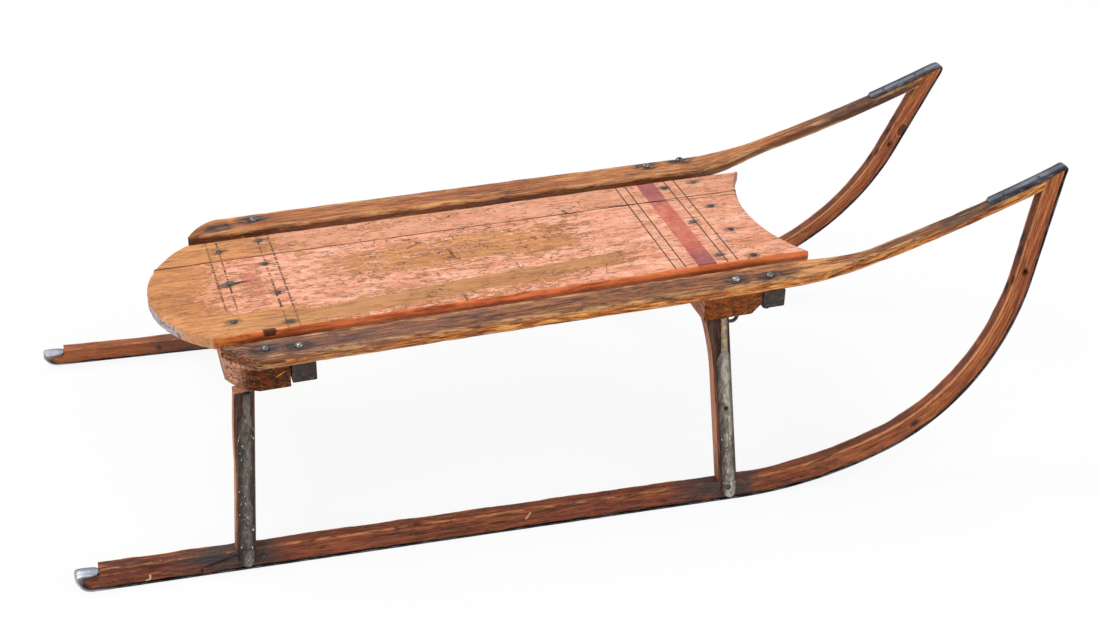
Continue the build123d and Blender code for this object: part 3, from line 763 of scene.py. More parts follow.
# iron: three tones from dark to light, the size of its grain, and rust
boltIron = dict(tones="2A2A2C 6E6E70 B8B8B8", scale=400, rust="3A2A20", rustFrom=0.60, rough=0.30, metal=0.9)
nailIron = dict(tones="1A1817 413D3A 85807A", scale=500, rust="38241A", rustFrom=0.56, rough=0.42, metal=0.7)
eyeIron = dict(tones="241C1C 4D4143 7A6E74", scale=300, rust="4E2C22", rustFrom=0.52, rough=0.45, metal=0.6)
shoeIron = dict(tones="1B1C21 34363D 72757F", dark="1B1C21", light="72757F", crown="8E929F", tail="B9BEC8",
                rust="4E2E20")
braceTones = "241F1B 463E37 72695F BAB2A5"
braceHole = (0.1474, 0.188, 0.1008)


def makeIronFinish(name, spec):
    board = finishOf(name)
    spot = board.spot()
    grain = spot.cloud((spec["scale"], spec["scale"]), 5, 0.68, 0.4)
    fine = spot.cloud((1400, 1400), 3, 0.6)
    broad = spot.cloud((22, 22), 4, 0.6, 0.6, (3, 1, 2))
    colour = (grain * 0.6 + broad * 0.4).ramp((0.36, 0.50, 0.63), spec["tones"])
    rust = (broad * 0.5 + grain * 0.5).step(spec["rustFrom"], spec["rustFrom"] + 0.06)
    colour = colour.under(rust * 0.7, spec["rust"])
    rough = spec["rough"] + rust * 0.25 + (grain - 0.5) * 0.3
    height = grain * 0.8 + fine * 0.3 + rust * 0.5
    return closeFinish(colour, rough, height, 0.0003, metal=spec["metal"] * (1 - rust * 0.8))


def makeBraceFinish():
    board = finishOf("braceIron")
    spot = board.spot()
    x, y, z = board.parts(spot)
    grain = spot.cloud((300, 300, 34), 5, 0.68, 0.5)
    broad = spot.cloud((90, 90, 11), 4, 0.65, 0.6, (3, 1, 2))
    fine = spot.cloud((900, 900), 3, 0.6)
    frontLegs = x.step(0.0, 0.1)
    # a painted highlight on the brace's crown, the faces looking out sideways
    crown = facingOf(board, 1).step(0.74, 0.97)
    tone = grain * 0.32 + broad * 0.28 + crown * 0.115 + frontLegs * 0.066 + 0.104
    colour = tone.ramp((0.40, 0.47, 0.54, 0.63), braceTones)
    pits = spot.cloud((420, 420, 260), 4, 0.6, 0.4, (2, 6, 1)).step(0.63, 0.68)
    colour = colour.under(pits * 0.70, "241E19")
    # pale flecks, and long pale streaks on the lower brace that are painted highlight
    streakHighlight = spot.cloud((420, 420, 26), 3, 0.6, 0.3, (8, 1, 1)).step(0.665, 0.69) * z.step(0.150, 0.120)
    flecks = spot.cloud((210, 210, 150), 4, 0.7, 0.3, (8, 1, 1)).step(0.685, 0.71)
    flecks = strongest([flecks, streakHighlight])
    colour = colour.under(flecks * 0.9, "F4ECC8")
    colour = colour.under(z.step(0.146, 0.166) * frontLegs * 0.50, "4E4238")
    gilt = spot.cloud((520, 520, 420), 3, 0.7, 0.5, (1, 1, 7)).step(0.545, 0.585)
    colour = colour.under(gilt * z.within(0.163, 0.194, 0.006) * frontLegs * 0.92, "D8A23C")
    rust = (broad * 0.6 + grain * 0.4).step(0.56, 0.63)
    colour = colour.under(rust * 0.55, "52341F")
    hole = halo(board.join(x, abs(y), z), [braceHole], 0.0016, 0.0027)
    colour = colour.under(hole, "0E0A08")
    rough = 0.40 + (grain - 0.5) * 0.5 + rust * 0.2
    height = grain * 0.9 + fine * 0.25 + flecks * 0.4 - pits * 0.6 - hole * 4.0
    return closeFinish(colour, rough, height, 0.0005, metal=0.5 - rust * 0.4)


def makeShoeFinish():
    s = shoeIron
    board = finishOf("shoeIron")
    place, edge, spot = board.stored("grainPlace"), board.stored("edgeShare", 2), board.spot()
    along, across, deep = board.parts(place)
    x, y, z = board.parts(spot)
    grain = place.cloud((60, 130), 5, 0.66, 0.4)
    broad = place.cloud((14, 30), 4, 0.6, 0.6, (3, 1, 2))
    fine = spot.cloud((1300, 1300), 3, 0.6)
    colour = (grain * 0.55 + broad * 0.45).ramp((0.38, 0.50, 0.70), s["tones"])
    # a painted highlight down the middle of the strip
    crown = abs(across + 0.0008).step(0.0052, 0.0008) * (broad.step(0.36, 0.60) * 0.5 + 0.5)
    colour = colour.under(crown * 0.80, s["crown"])
    # painted shade on the strip's thin sides
    colour = colour.under(deep.step(-0.0004, -0.0012) * 0.55, s["dark"])
    # the tail brighter: polished iron, with a painted highlight on it
    colour = colour.under(x.step(-0.505, -0.535) * (broad.step(0.40, 0.56) * 0.5 + 0.35), s["tail"])
    rust = (broad * 0.5 + grain * 0.5).step(0.575, 0.635)
    colour = colour.under(rust * 0.55, s["rust"])
    pits = spot.cloud((240, 240), 4, 0.62, 0.3, (5, 2, 1)).step(0.60, 0.66)
    colour = colour.under(pits * 0.5, s["dark"])
    colour = colour.under(edge.step(0.55, 0.95) * grain.step(0.46, 0.60) * 0.5, s["light"])
    rough = 0.38 + rust * 0.25 + (grain - 0.5) * 0.3
    height = grain * 0.7 + fine * 0.25 - pits * 0.7
    return closeFinish(colour, rough, height, 0.00015, metal=0.80 - rust * 0.6)


finishes = dict(runner=makeRunnerFinish(), rail=makeRailFinish(), deck=makeDeckFinish(),
                beam=makeBeamFinish("beamWorn", beamWood), bar=makeBeamFinish("barBlack", barWood),
                leg=makeLegFinish(), brace=makeBraceFinish(), shoe=makeShoeFinish(),
                bolt=makeIronFinish("boltIron", boltIron), nail=makeIronFinish("nailIron", nailIron),
                eye=makeIronFinish("eyeIron", eyeIron))
print("finishes made:", len(finishes))


# geometry trees
def startTree(name, inputs, output):  # its board, its input sockets, and a wire from each of them
    tree = bpy.data.node_groups.new(name, "GeometryNodeTree")
    sockets = {}
    for key, kind in inputs.items():
        sockets[key] = tree.interface.new_socket(key, in_out="INPUT", socket_type="NodeSocket" + kind)
    tree.interface.new_socket(output, in_out="OUTPUT", socket_type="NodeSocketGeometry")
    board = Board(tree)
    source = tree.nodes.new("NodeGroupInput")
    return board, sockets, {made.name: Wire(board, made) for made in source.outputs if made.name}


def closeTree(board, geometry, finish):
    geometry = board.node("GeometryNodeRealizeInstances", None, {"Geometry": geometry})
    geometry = board.node("GeometryNodeSetMaterial", None, {"Geometry": geometry, "Material": finish})
    board.node("NodeGroupOutput", None, {0: geometry})
    return board.tree


def keep(geometry, name, value, kind="FLOAT"):  # stores a value on a geometry's points
    return geometry.board.node("GeometryNodeStoreNamedAttribute", {"data_type": kind, "domain": "POINT"},
                               {"Geometry": geometry, "Name": name, "Value": value})


def kept(board, name, kind="FLOAT"):
    return board.node("GeometryNodeInputNamedAttribute", {"data_type": kind}, {"Name": name})


def runTree(tree, sockets, source, values, name):  # the tree's result on an object, as a plain mesh
    modifier = source.modifiers.new(name, "NODES")
    modifier.node_group = tree
    for key, value in values.items():
        modifier[sockets[key].identifier] = value
    mesh = evaluated(source)
    mesh.name = name
    return mesh


# runners: a rounded bar swept along the bent line by Geometry Nodes
def bentRunnerTree():
    names = ("Width", "Depth", "Edge Round", "Lean", "Gauge", "Side", "Wear", "Grain Seed")
    inputs = {"Line": "Geometry", **{name: "Float" for name in names}, "Finish": "Material"}
    board, sockets, given = startTree("bentRunner", inputs, "Runner")
    line = board.node("GeometryNodeSetCurveNormal", {"mode": "Z_UP"}, {"Curve": given["Line"]})
    line = keep(line, "alongLine", board.node("GeometryNodeSplineParameter", out=1))
    profile = board.node("GeometryNodeCurvePrimitiveQuadrilateral", None,
                         {"Width": given["Width"], "Height": given["Depth"]})
    profile = board.node("GeometryNodeFilletCurve", {"mode": "POLY"},
                         {"Curve": profile, "Radius": given["Edge Round"], "Count": 3, "Limit Radius": True})
    profile = board.node("GeometryNodeSubdivideCurve", None, {"Curve": profile, "Cuts": 3})
    profile = keep(profile, "profileSpot", board.node("GeometryNodeInputPosition"), "FLOAT_VECTOR")
    swept = board.node("GeometryNodeCurveToMesh", None,
                       {"Curve": line, "Profile Curve": profile, "Fill Caps": True})
    # the place along the grain, and how near a long edge a point is
    alongLine = kept(board, "alongLine")
    px, py, pz = board.parts(kept(board, "profileSpot", "FLOAT_VECTOR"))
    fromTop = py * -1 - given["Depth"] * 0.5
    swept = keep(swept, "grainPlace", board.join(alongLine, px, fromTop), "FLOAT_VECTOR")
    sideShare = (abs(px) / (given["Width"] * 0.5)).step(0.50, 0.92)
    topShare = (abs(py) / (given["Depth"] * 0.5)).step(0.76, 0.97)
    edge = sideShare * topShare
    swept = keep(swept, "edgeShare", edge)
    # wear, deepest along the edges
    rub = board.join(alongLine + given["Grain Seed"], px, fromTop).cloud((26, 90))
    dent = (rub - 0.62).maths("MINIMUM", 0.0) * given["Wear"] * (edge * 1.6 + 0.25)
    offset = board.node("ShaderNodeVectorMath", {"operation": "SCALE"},
                        {0: board.node("GeometryNodeInputNormal"), 3: dent})
    swept = board.node("GeometryNodeSetPosition", None, {"Geometry": swept, "Offset": offset})
    # the plane of the runner leans inwards
    x, y, v = board.parts(board.node("GeometryNodeInputPosition"))
    out = (given["Gauge"] - given["Width"] * 0.5 - given["Lean"].maths("SINE") * v) * given["Side"]
    leant = board.join(x, y + out, v * given["Lean"].maths("COSINE"))
    swept = board.node("GeometryNodeSetPosition", None, {"Geometry": swept, "Position": leant})
    return closeTree(board, swept, given["Finish"]), sockets


def lineObject(name, points):
    curve = bpy.data.curves.new(name, "CURVE")
    curve.dimensions = "3D"
    spline = curve.splines.new("POLY")
    spline.points.add(len(points) - 1)
    for spot, (x, v) in zip(spline.points, points):
        spot.co = (x, 0, v, 1)
    return placed(name, curve)


def railPlaneAtTip():  # a point on the rail's top near its tip, the way ahead and the way up there
    at, heading = railTop(railStraight + railSizes["tipAt"])
    spot = deckPoint(at.x, 0, at.y)
    ahead = deckPoint(at.x + math.cos(heading), 0, at.y + math.sin(heading)) - spot
    return spot, ahead, Vector((-ahead.z, 0, ahead.x))


def holeTool(side):
    r = runnerSizes
    points, start, heading = runnerLine(r["shoe"], 0)
    x = start.x + (r["holeHeight"] / math.cos(lean) - start.y) / math.tan(heading) - r["holeInset"]
    y = stance["gauge"] - r["holeHeight"] * math.tan(lean) - r["width"] / 2
    turn = Matrix.Rotation(math.radians(90) - side * lean, 4, "X")
    bm = bmesh.new()
    bmesh.ops.create_cone(bm, cap_ends=True, segments=24, radius1=r["holeRadius"], radius2=r["holeRadius"],
                          depth=60 * mm, matrix=Matrix.Translation((x, side * y, r["holeHeight"])) @ turn)
    return meshFrom(bm, bpy.data.meshes.new("holeTool"))


def runnerCutters(tailX):  # the step on the tail, the slope under it, and the cut along the rail
    r = runnerSizes
    above = r["shoe"] + r["depth"]
    floor, top = (v * math.cos(lean) for v in (above - r["stepDepth"], above + 5 * mm))
    stepEnd = tailCorners[0][0] * mm + 0.5 * mm
    tailStep = [(tailX - 10 * mm, floor), (stepEnd, floor), (stepEnd, top), (tailX - 10 * mm, top)]
    foot, rise = ((r["shoe"] + v) * math.cos(lean) for v in (-1 * mm, r["slopeRise"]))
    tailSlope = [(r["rearX"] + r["slopeRun"] + 2 * mm, foot), (tailX - 1 * mm, rise), (tailX - 10 * mm, rise),
                 (tailX - 10 * mm, foot)]
    spot, ahead, up = railPlaneAtTip()
    tipCut = [spot + ahead * a * mm + up * b * mm for a, b in ((-100, 0), (60, 0), (60, 80), (-100, 80))]
    return [prismMesh("tailStep", tailStep), prismMesh("tailSlope", tailSlope),
            prismMesh("tipCut", [(c.x, c.z) for c in tipCut])]


def makeRunners():
    r = runnerSizes
    tree, sockets = bentRunnerTree()
    tailX = r["rearX"] + r["shoe"] + r["tailGap"]
    points, noseStart, heading = runnerLine(r["shoe"] + r["depth"] / 2, tailX - 2 * mm)
    line, tip, outwards = shoeLine()
    tipCorner, tipOut = Vector((tip.x, 0, tip.y)), Vector((outwards.x, 0, outwards.y)).normalized()
    for hand, side in hands:
        name = "runnerWood_" + hand
        values = {"Width": r["width"], "Depth": r["depth"], "Edge Round": r["edgeRound"], "Lean": lean,
                  "Gauge": stance["gauge"], "Side": float(side), "Wear": r["wear"],
                  "Grain Seed": 0.0 if side < 0 else 3.7, "Finish": finishes["runner"]}
        mesh = runTree(tree, sockets, lineObject("runnerLine", points), values, name)
        trimMesh(mesh, Vector((tailX, 0, 0)), Vector((-1, 0, 0)))
        trimMesh(mesh, tipCorner - tipOut * r["tipTrim"], tipOut)
        mesh = cutMesh(mesh, runnerCutters(tailX) + [holeTool(side)])
        smoothMesh(mesh, 40)
        showPiece(name, mesh, "runner", ["runner_" + hand])


# shoes: one iron strip each, from the plate on the tail round the loop, under the runner and over the tip
shoeShape = dict(width=15 * mm, thickness=2.5 * mm, crown=0.5 * mm, edgeRound=0.7 * mm, wave=0.18 * mm,
                 tipReach=13 * mm, strapFrom=452.5 * mm, endTaper=4 * mm, strapHeight=200 * mm,
                 strapBlend=35 * mm)
# mm: places in the side view, and how far the rounding reaches
tailCorners = [(-522.8, 18.5, 0), (-550.0, 18.5, 11.0), (-538.0, 0, 9.0), (-515, 0, 0)]


def rounded(before, at, after, reach, count=7):  # a corner rounded off
    start, end = at + (before - at).normalized() * reach, at + (after - at).normalized() * reach
    return [start.lerp(at, i / count).lerp(at.lerp(end, i / count), i / count) for i in range(count + 1)]


def shoeLine():  # outer side of the strip in the side view, its tip, and the way out there
    corners = [Vector((x * mm, v * mm * math.cos(lean))) for x, v, reach in tailCorners]
    line = [corners[0], corners[0].lerp(corners[1], 0.1), corners[0].lerp(corners[1], 0.4)]
    for i in range(1, len(corners) - 1):
        line += rounded(corners[i - 1], corners[i], corners[i + 1], tailCorners[i][2] * mm)
    sole, noseStart, heading = runnerLine(0, corners[-1].x)
    sole = [Vector((x, v * math.cos(lean))) for x, v in sole]
    strap = []
    for i in range(240):
        top, turn = railTop(railStraight + 0.12 + i * mm)
        up = top + aside(turn) * shoeShape["thickness"]
        spot = deckPoint(up.x, 0, up.y)
        strap.append(Vector((spot.x, spot.z)))
    strap = [p for p in strap if p.x > shoeShape["strapFrom"]]
    nose = (sole[-1] - sole[-2]).normalized()
    ahead = [p for p in strap if (p - sole[-2]).cross(nose) > 0]
    strap = [p for p in strap if (p - sole[-2]).cross(nose) <= 0]
    tip = strap[-1].lerp(ahead[0], 0.5) if ahead else strap[-1]
    reach = shoeShape["tipReach"]
    sole = [p for p in sole if p.y < tip.y and (p - tip).length > reach * 1.05]
    strap = [p for p in strap if (p - tip).length > reach * 1.05][::-4]
    line += sole + rounded(sole[-1], tip, strap[0], reach, 12) + strap
    return line, tip, (tip - sole[-1]).normalized() + (tip - strap[0]).normalized()


def makeShoes():
    s = shoeShape
    line, tip, outwards = shoeLine()
    total = sum((b - a).length for a, b in zip(line, line[1:]))
    strapLength = (tip.x - s["strapFrom"]) * 1.1 + 12 * mm
    strapY = railSizes["outer"] - s["width"] / 2
    for hand, side in hands:
        rings, grain, edges = [], [], []
        length = 0.0
        for i, p in enumerate(line):
            ahead = (line[min(i + 1, len(line) - 1)] - line[max(i - 1, 0)]).normalized()
            out = Vector((ahead.y, -ahead.x))
            length += (p - line[i - 1]).length if i else 0.0
            fromEnd = min(length, total - length)
            width = s["width"] - 2 * max(0.0, s["endTaper"] - fromEnd) * 0.8
            thick = s["thickness"] * (0.7 + 0.3 * min(1.0, fromEnd / s["endTaper"]))
            middle = stance["gauge"] - s["width"] / 2 - math.tan(lean) * p.y
            if p.y > s["strapHeight"]:  # the strap lies on the rail
                onStrap = min(1.0, max(0.0, (length - (total - strapLength)) / s["strapBlend"]))
                middle += (strapY - middle) * onStrap ** 2 * (3 - 2 * onStrap)
            ring = sectionRing(width, thick, s["edgeRound"], (8, 2, 3))
            spots = []
            for across, deep, share in ring:
                sunk = s["crown"] * (2 * across / width) ** 2 * (1 + deep / thick)
                wave = noise.noise(Vector((length * 60, across * 150 + side, deep * 200))) * s["wave"]
                at = p + out * (deep - sunk + wave - s["thickness"] * 0.02)
                spots.append(Vector((at.x, side * (middle + across), max(at.y, 0.0))))
            rings.append(spots)
            grain.append([(length + side, across, deep) for across, deep, share in ring])
            edges.append([share for across, deep, share in ring])
        mesh = ringsMesh("shoe_" + hand, rings, grain, edges)
        smoothMesh(mesh, 40)
        showPiece("shoe_" + hand, mesh, "shoe", ["runner_shoe_" + hand])


makeRunners()
print("runners swept")
makeShoes()
print("shoes bent")


# rails: flat planks with worn round edges, bent up in front
railWear = dict(edgeRound=2.6 * mm, step=4 * mm, rearStep=1.6 * mm, wave=0.22 * mm, dent=1.1 * mm,
                brokenRun=50 * mm, broken=1.5 * mm, raggedRun=60 * mm, ragged=2.2 * mm)


def railDent(s, across, deep, share, side):  # how far a point of the rail's skin is worn in
    w = railWear
    dent = min(0, noise.noise(Vector((s * 70, across * 120, side * 7 + deep * 60))) + 0.22)
    dent *= w["dent"] * share
    if side < 0 and s < w["raggedRun"]:
        ragged = min(0, noise.noise(Vector((s * 220, across * 320, deep * 420))) + 0.05)
        dent += ragged * w["ragged"] * (1 - s / w["raggedRun"]) * (share * 0.7 + 0.3)
    return dent


def makeRails():
    r, w = railSizes, railWear
    stops = [i * w["rearStep"] for i in range(int(r["sweep"] / w["rearStep"]))]
    at = stops[-1] + w["step"]
    while at < railStraight + r["drawnTo"]:
        stops.append(at)
        at += w["step"]
    planeSpot, planeNormal = nosePlane(runnerSizes["depth"] + runnerSizes["shoe"])
    for hand, side in hands:
        rings, grain, edges = [], [], []
        for s in stops:
            top, heading = railTop(s)
            inner, outer = railEdges(top.x, r["bulge"][hand])
            width, middle = outer - inner, (outer + inner) / 2
            if side < 0 and s < w["brokenRun"]:
                broken = noise.noise(Vector((s * 260, 4.2, 1.0))) * w["broken"] * (1 - s / w["brokenRun"])
                width, middle = width + broken, middle + broken / 2
            worn = noise.noise(Vector((s * 14, side * 3.1, 0))) * 0.45
            worn += noise.noise(Vector((s * 60, side * 5.3, 2))) * 0.25
            ring = sectionRing(width, r["thickness"], w["edgeRound"] * (1 + worn), (12, 3, 4))
            spots = []
            for across, deep, share in ring:
                wave = noise.noise(Vector((s * 40, across * 90 + side, deep * 90))) * w["wave"]
                dent = railDent(s, across, deep, share, side)
                d = deep + (dent if deep > -0.006 else -dent) + wave
                at = top + aside(heading) * d
                spots.append(deckPoint(at.x, side * (middle + across), at.y))
            rings.append(spots)
            grain.append([(s + side * 2.0 + 5, across, deep) for across, deep, share in ring])
            edges.append([share for across, deep, share in ring])
        mesh = ringsMesh("railPlank_" + hand, rings, grain, edges)
        trimMesh(mesh, planeSpot, planeNormal)
        smoothMesh(mesh, 42)
        showPiece("railPlank_" + hand, mesh, "rail", ["rail_" + hand])


makeRails()
print("rails bent")


# deck boards: one outline, rounded by use, split along the joint
def arcX(corner, bulge, half, y):  # x of an arc through (corner, +-half) whose middle stands back by bulge
    radius = (half ** 2 + bulge ** 2) / (2 * bulge)
    return corner - bulge + radius - math.sqrt(radius ** 2 - y ** 2)


def boardOutline(lowY, highY, step=3 * mm, sideCount=120):  # anticlockwise from the rear, low side
    d = deckSizes
    count = max(4, int((highY - lowY) / step))
    ys = [lowY + (highY - lowY) * i / count for i in range(count + 1)]
    rear = [(arcX(d["rearCorner"], d["rearBulge"], d["half"], y), y) for y in reversed(ys)]
    front = [(arcX(d["frontCorner"], d["frontHollow"], d["half"], y), y) for y in ys]
    low, high = ([(a[0] + (b[0] - a[0]) * i / sideCount, a[1]) for i in range(1, sideCount)]
                 for a, b in ((rear[-1], front[0]), (front[-1], rear[0])))
    return rear + low + front + high


def outwardNormals(outline):  # mitred, so that an inset keeps its depth at corners
    normals = []
    for i in range(len(outline)):
        a, b, c = (Vector(outline[(i + k) % len(outline)]) for k in (-1, 0, 1))
        n1, n2 = (Vector((run.y, -run.x)).normalized() for run in (b - a, c - b))
        mean = n1 + n2
        normals.append(mean / max(0.5, mean.length_squared / 2) if mean.length > 0.01 else n1)
    return normals


deckWear = dict(jointRound=0.35, spread=0.5, chip=2.2 * mm, fineChip=0.5 * mm, sideShare=0.25)


def boardLayers():  # height, inset and whether the inset is a share of the upper edge's rounding
    d = deckSizes
    layers = [(-d["thickness"], 1 * mm, False), (1 * mm - d["thickness"], 0.0, False), (-7 * mm, 0.0, False)]
    for i in range(6):
        a = math.radians(90 * i / 5)
        layers.append((-d["edgeRound"] * (1 - math.sin(a)), 1 - math.cos(a), True))
    return layers


def makeDeckBoards():
    d, w = deckSizes, deckWear
    for name, lowY, highY, seed in (("wide", -d["half"], d["joint"] - d["gap"] / 2, 0.0),
                                    ("narrow", d["joint"] + d["gap"] / 2, d["half"], 9.0)):
        outline = boardOutline(lowY, highY)
        normals = outwardNormals(outline)
        rings = []
        for z, inset, curved in boardLayers():
            ring = []
            for (x, y), n in zip(outline, normals):
                atJoint = abs(y - d["joint"]) < 1 * mm
                rounding = 1 + w["spread"] * noise.noise(Vector((x * 22, y * 22, seed)))
                rounding *= w["jointRound"] if atJoint else 1.0
                rim = 0 if atJoint else 1.0 if x < d["rearCorner"] + 4 * mm else w["sideShare"]
                chip = max(0, noise.noise(Vector((x * 160, y * 160, z * 200 + seed))) - 0.05) * w["chip"]
                chip += max(0, noise.noise(Vector((x * 420, y * 420, z * 300 + seed)))) * w["fineChip"]
                chip *= rim
                away = d["edgeRound"] * inset * rounding + chip * (1 - inset) if curved else inset + chip
                spot = Vector((x, y)) - n * away
                ring.append(deckPoint(spot.x, spot.y, z * rounding if curved else z))
            rings.append(ring)
        mesh = ringsMesh("deckBoard_" + name, rings)
        bm = bmesh.new()
        bm.from_mesh(mesh)
        bmesh.ops.triangulate(bm, faces=[f for f in bm.faces if len(f.verts) > 4])
        meshFrom(bm, mesh)
        smoothMesh(mesh, 35)
        showPiece("deckBoard_" + name, mesh, "deck", ["deck_board_" + name])


makeDeckBoards()
print("deck boards made")


# pieces that keep the solids' forms, with their edges softened
def softened(node, name, finish, width, segments=2):
    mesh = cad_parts[node].data.copy()
    mesh.name = name
    bm = bmesh.new()
    bm.from_mesh(mesh)
    bmesh.ops.remove_doubles(bm, verts=bm.verts, dist=2e-5)
    bmesh.ops.dissolve_limit(bm, angle_limit=math.radians(0.8), verts=bm.verts, edges=bm.edges)
    if width:
        bmesh.ops.bevel(bm, geom=sharpEdges(bm, 28), offset=width, segments=segments, affect="EDGES",
                        profile=0.5, clamp_overlap=True)
    bmesh.ops.triangulate(bm, faces=[f for f in bm.faces if len(f.verts) > 4])
    meshFrom(bm, mesh)
    facing = mesh.attributes.new("facing", "FLOAT_VECTOR", "FACE")
    facing.data.foreach_set("vector", [c for polygon in mesh.polygons for c in polygon.normal])
    smoothMesh(mesh, 30)
    showPiece(name, mesh, finish, [node])


for end in ("front", "rear"):
    softened("cross_beam_" + end, "beam_" + end, "beam", 0.9 * mm)
    softened("cross_bar_" + end, "bar_" + end, "bar", 0.4 * mm)
    for hand, side in hands:
        leg = end + "_" + hand
        softened("leg_" + leg, "leg_" + end + "Wood_" + hand, "leg", 0.7 * mm)
        softened("leg_brace_" + leg, "brace_" + leg, "brace", 0.3 * mm, 1)
for hand, side in hands:
    softened("screw_eye_" + hand, "ropeEye_" + hand, "eye", 0)
print("beams, legs and iron softened")


# nails, bolts and rivets: heads set on points by Geometry Nodes
def headMesh(name, profile, segments):  # turned from its half profile, which starts and ends on the axis
    rings = []
    for radius, height in profile:
        angles = [2 * math.pi * i / segments for i in range(segments if radius else 1)]
        rings.append([Vector((radius * math.cos(a), radius * math.sin(a), height)) * mm for a in angles])
    return ringsMesh(name, rings)


def headsTree():
    board, sockets, given = startTree("headsOnPoints", {
        "Points": "Geometry", "Head": "Object", "Size Spread": "Float", "Tilt": "Float", "Seed": "Int",
        "Finish": "Material"}, "Heads")

    def draw(low, high, seed):  # a number for each point
        return board.node("FunctionNodeRandomValue", {"data_type": "FLOAT"},
                          {2: low, 3: high, "Seed": seed}, out=1)

    head = board.node("GeometryNodeObjectInfo", {"transform_space": "ORIGINAL"},
                      {"Object": given["Head"]}, out=4)
    turn = board.node("FunctionNodeAlignRotationToVector", {"axis": "Z"},
                      {"Vector": kept(board, "facing", "FLOAT_VECTOR")})
    spin = draw(0.0, 6.283, given["Seed"])
    tilt = draw(-1.0, 1.0, given["Seed"] + 7) * given["Tilt"]
    local = board.node("FunctionNodeEulerToRotation", None, {0: board.join(tilt, 0.0, spin)})
    rotation = board.node("FunctionNodeRotateRotation", {"rotation_space": "LOCAL"}, {0: turn, 1: local})
    size = draw(1.0 - given["Size Spread"], 1.0 + given["Size Spread"], given["Seed"] + 3)
    heads = board.node("GeometryNodeInstanceOnPoints", None, {
        "Points": given["Points"], "Instance": head, "Rotation": rotation,
        "Scale": board.join(size, size, size)})
    return closeTree(board, heads, given["Finish"]), sockets


headKinds = dict(  # half profile in mm, how much sizes and tilts vary, seed, and corners
    deckNails=dict(finish="nail", spread=0.12, tilt=0.10, seed=3, segments=12, profile=[
        (0, -1.5), (3.1, -1.5), (3.6, -0.2), (3.5, 0.3), (2.7, 0.75), (1.5, 0.7), (0, 0.6)]),
    railBolts=dict(finish="bolt", spread=0.05, tilt=0.06, seed=5, segments=24, profile=[
        (0, -1.5), (3.9, -1.5), (4.5, 0.2), (4.3, 1.3), (3.4, 2.4), (2.2, 3.1), (1.0, 3.4), (0, 3.5)]),
    underNuts=dict(finish="nail", spread=0.04, tilt=0.04, seed=9, segments=6, profile=[
        (0, -1.0), (5.6, -1.0), (6.2, 0.0), (6.2, 3.2), (5.4, 3.8), (3.0, 3.8), (2.9, 6.0), (2.0, 6.8),
        (0, 6.9)]),
    footRivets=dict(finish="nail", spread=0.08, tilt=0.05, seed=11, segments=18, profile=[
        (0, -1.5), (2.5, -1.5), (3.1, 0.1), (2.9, 0.9), (2.0, 1.5), (1.0, 1.75), (0, 1.8)]),
    strapNails=dict(finish="nail", spread=0.1, tilt=0.1, seed=13, segments=12, profile=[
        (0, -1.0), (1.8, -1.0), (2.1, 0.1), (1.7, 0.5), (0.8, 0.7), (0, 0.7)]))
heads = headsTree()


def setHeads(name, spots):
    k = headKinds[name]
    points = bpy.data.meshes.new(name + "Points")
    points.from_pydata([tuple(p) for p, n in spots], [], [])
    facing = points.attributes.new("facing", "FLOAT_VECTOR", "POINT")
    facing.data.foreach_set("vector", [c for p, n in spots for c in n])
    head = placed(name + "Head", headMesh(name + "Head", k["profile"], k["segments"]))
    values = {"Head": head, "Size Spread": k["spread"], "Tilt": k["tilt"], "Seed": k["seed"],
              "Finish": finishes[k["finish"]]}
    mesh = runTree(*heads, placed(name + "Points", points), values, name)
    bpy.data.objects.remove(head)
    smoothMesh(mesh, 50)
    showPiece(name, mesh, k["finish"])


upDeck = deckPoint(0, 0, 1) - deckPoint(0, 0, 0)
# mm, and which way they face
rivetSpots = [(146.7, 220.2, 18.9, (-0.25, 0.95, 0.20)), (-378.7, 212.5, 37.2, (-0.26, 0.86, 0.43)),
              (-413.3, 201.7, 11.1, (0.0, -0.98, -0.21)), (-362.0, 218.9, 14.0, (0.0, 0.98, 0.20))]
deepBolts = (-341.7, 163.8)  # mm: the first bolt of each bench, whose nut sits lower
nutHeights = dict(deep=-38 * mm, other=-34 * mm)
strapNailsAt = (268 * mm, 312 * mm)  # past the rail's bend


def underNuts():
    spots = []
    for x, y in railBolts["right"]:
        under = nutHeights["deep" if x in deepBolts else "other"]
        spots += [(deckPoint(x * mm, side * y * mm, under), -upDeck) for side in (-1, 1)]
    return spots


def footRivets():
    spots = []
    for x, y, z, (a, b, c) in rivetSpots:
        spots += [(Vector((x, side * y, z)) * mm, Vector((a, side * b, c))) for side in (1, -1)]
    return spots


def strapNails():  # one nail near each strap's end, and one beyond its middle
    middle = railSizes["outer"] - railSizes["tipWidth"] / 2
    spots = []
    for ahead in strapNailsAt:
        at, heading = railTop(railStraight + ahead)
        up = deckPoint(-math.sin(heading), 0, math.cos(heading)) - deckPoint(0, 0, 0)
        spots += [(deckPoint(at.x, side * middle, at.y) + up * runnerSizes["shoe"], up) for side in (1, -1)]
    return spots


setHeads("deckNails", [(deckPoint(a * mm, b * mm, 0), upDeck) for a, b in deckNails])
setHeads("railBolts", [(spot, upDeck) for spot in boltSpots["right"] + boltSpots["left"]])
setHeads("underNuts", underNuts())
setHeads("footRivets", footRivets())
setHeads("strapNails", strapNails())
print("nails and bolts set")


# floor, light and camera
def seenRay(board):  # 1 for what the camera sees, straight or in metal and glass
    outputs = board.tree.nodes.new("ShaderNodeLightPath").outputs
    names = ("Is Camera Ray", "Is Glossy Ray", "Is Transmission Ray")
    return strongest([Wire(board, outputs[name]) for name in names])


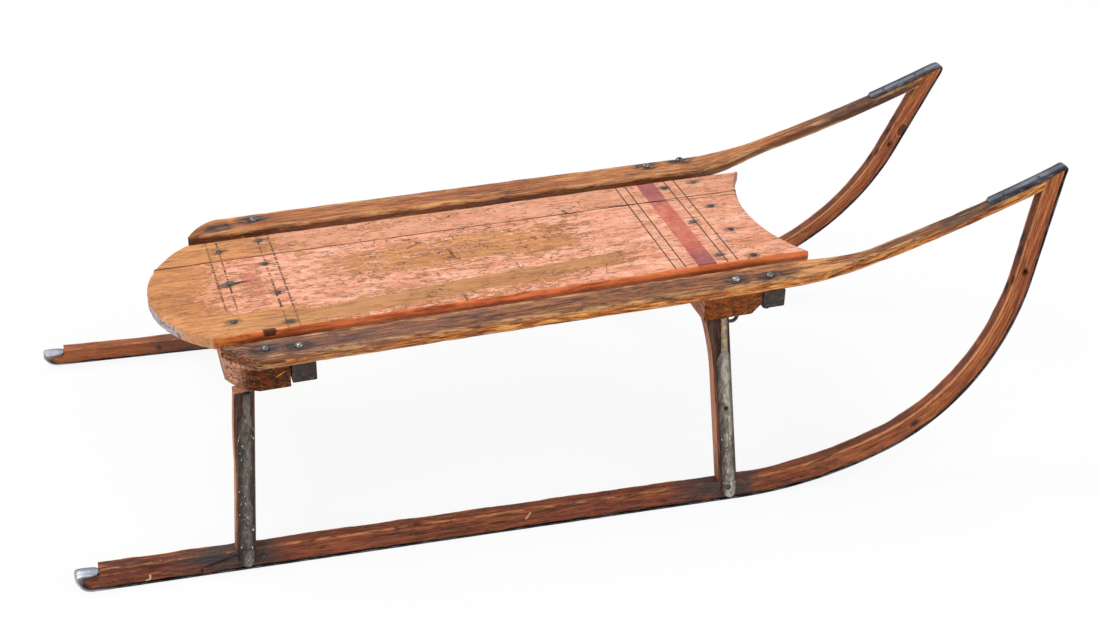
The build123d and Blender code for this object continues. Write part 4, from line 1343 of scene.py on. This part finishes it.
def makeStage():
    mesh = bpy.data.meshes.new("floor")
    mesh.from_pydata([(-6, -6, 0), (6, -6, 0), (6, 6, 0), (-6, 6, 0)], [], [(0, 1, 2, 3)])
    floor = placed("floor", mesh)
    board = finishOf("floorPale")
    matt = board.node("ShaderNodeBsdfDiffuse", None, {"Color": (0.90, 0.90, 0.90, 1), "Roughness": 1.0})
    glow = board.node("ShaderNodeEmission", None, {"Color": (1, 1, 1, 1), "Strength": 1.0})
    shown = board.node("ShaderNodeMixShader", None, {0: seenRay(board) * 0.88, 1: matt, 2: glow})
    board.node("ShaderNodeOutputMaterial", None, {"Surface": shown})
    mesh.materials.append(board.owner)

    bpy.context.scene.world = bpy.data.worlds.new("studio")
    board = clearBoard(bpy.context.scene.world)
    plain, white = (board.node("ShaderNodeBackground", None, {"Color": (1, 1, 1, 1), "Strength": strength})
                    for strength in (0.66, 1.0))
    mixed = board.node("ShaderNodeMixShader", None, {0: seenRay(board), 1: plain, 2: white})
    board.node("ShaderNodeOutputWorld", None, {"Surface": mixed})


lampAim = Vector((0, 0, 0.1))
lamps = [  # name, place, size and power
    ("keyLamp", (-1.2, 1.2, 2.4), 1.6, 41),
    ("fillLamp", (1.6, -2.2, 1.6), 2.0, 19),
    ("sideLamp", (-2.4, -1.4, 1.2), 1.6, 14),
]


def makeLamps():
    for name, place, size, power in lamps:
        light = bpy.data.lights.new(name, "AREA")
        light.shape = "DISK"
        light.size = size
        light.energy = power
        lamp = placed(name, light)
        lamp.location = place
        lamp.rotation_euler = (lampAim - Vector(place)).to_track_quat("-Z", "Y").to_euler()


photoView = dict(place=(-0.5855, -1.6115, 1.1449), lens=57.36, sensor=36,  # m and mm, then degrees
                 heading=69.8617, tilt=-30.6750, roll=4.4100)


def makeCamera():
    v = photoView
    heading, tilt, roll = (math.radians(v[key]) for key in ("heading", "tilt", "roll"))
    data = bpy.data.cameras.new("photoView")
    data.lens = v["lens"]
    data.sensor_width = v["sensor"]
    data.clip_end = 50
    camera = placed("photoView", data)
    turn = Matrix.Rotation(heading - math.pi / 2, 4, "Z") @ Matrix.Rotation(math.pi / 2 + tilt, 4, "X")
    camera.matrix_world = Matrix.Translation(v["place"]) @ turn @ Matrix.Rotation(roll, 4, "Z")
    bpy.context.scene.camera = camera


makeStage()
makeLamps()
makeCamera()
bpy.context.scene.view_settings.view_transform = "Standard"
print("stage, lamps and camera made")
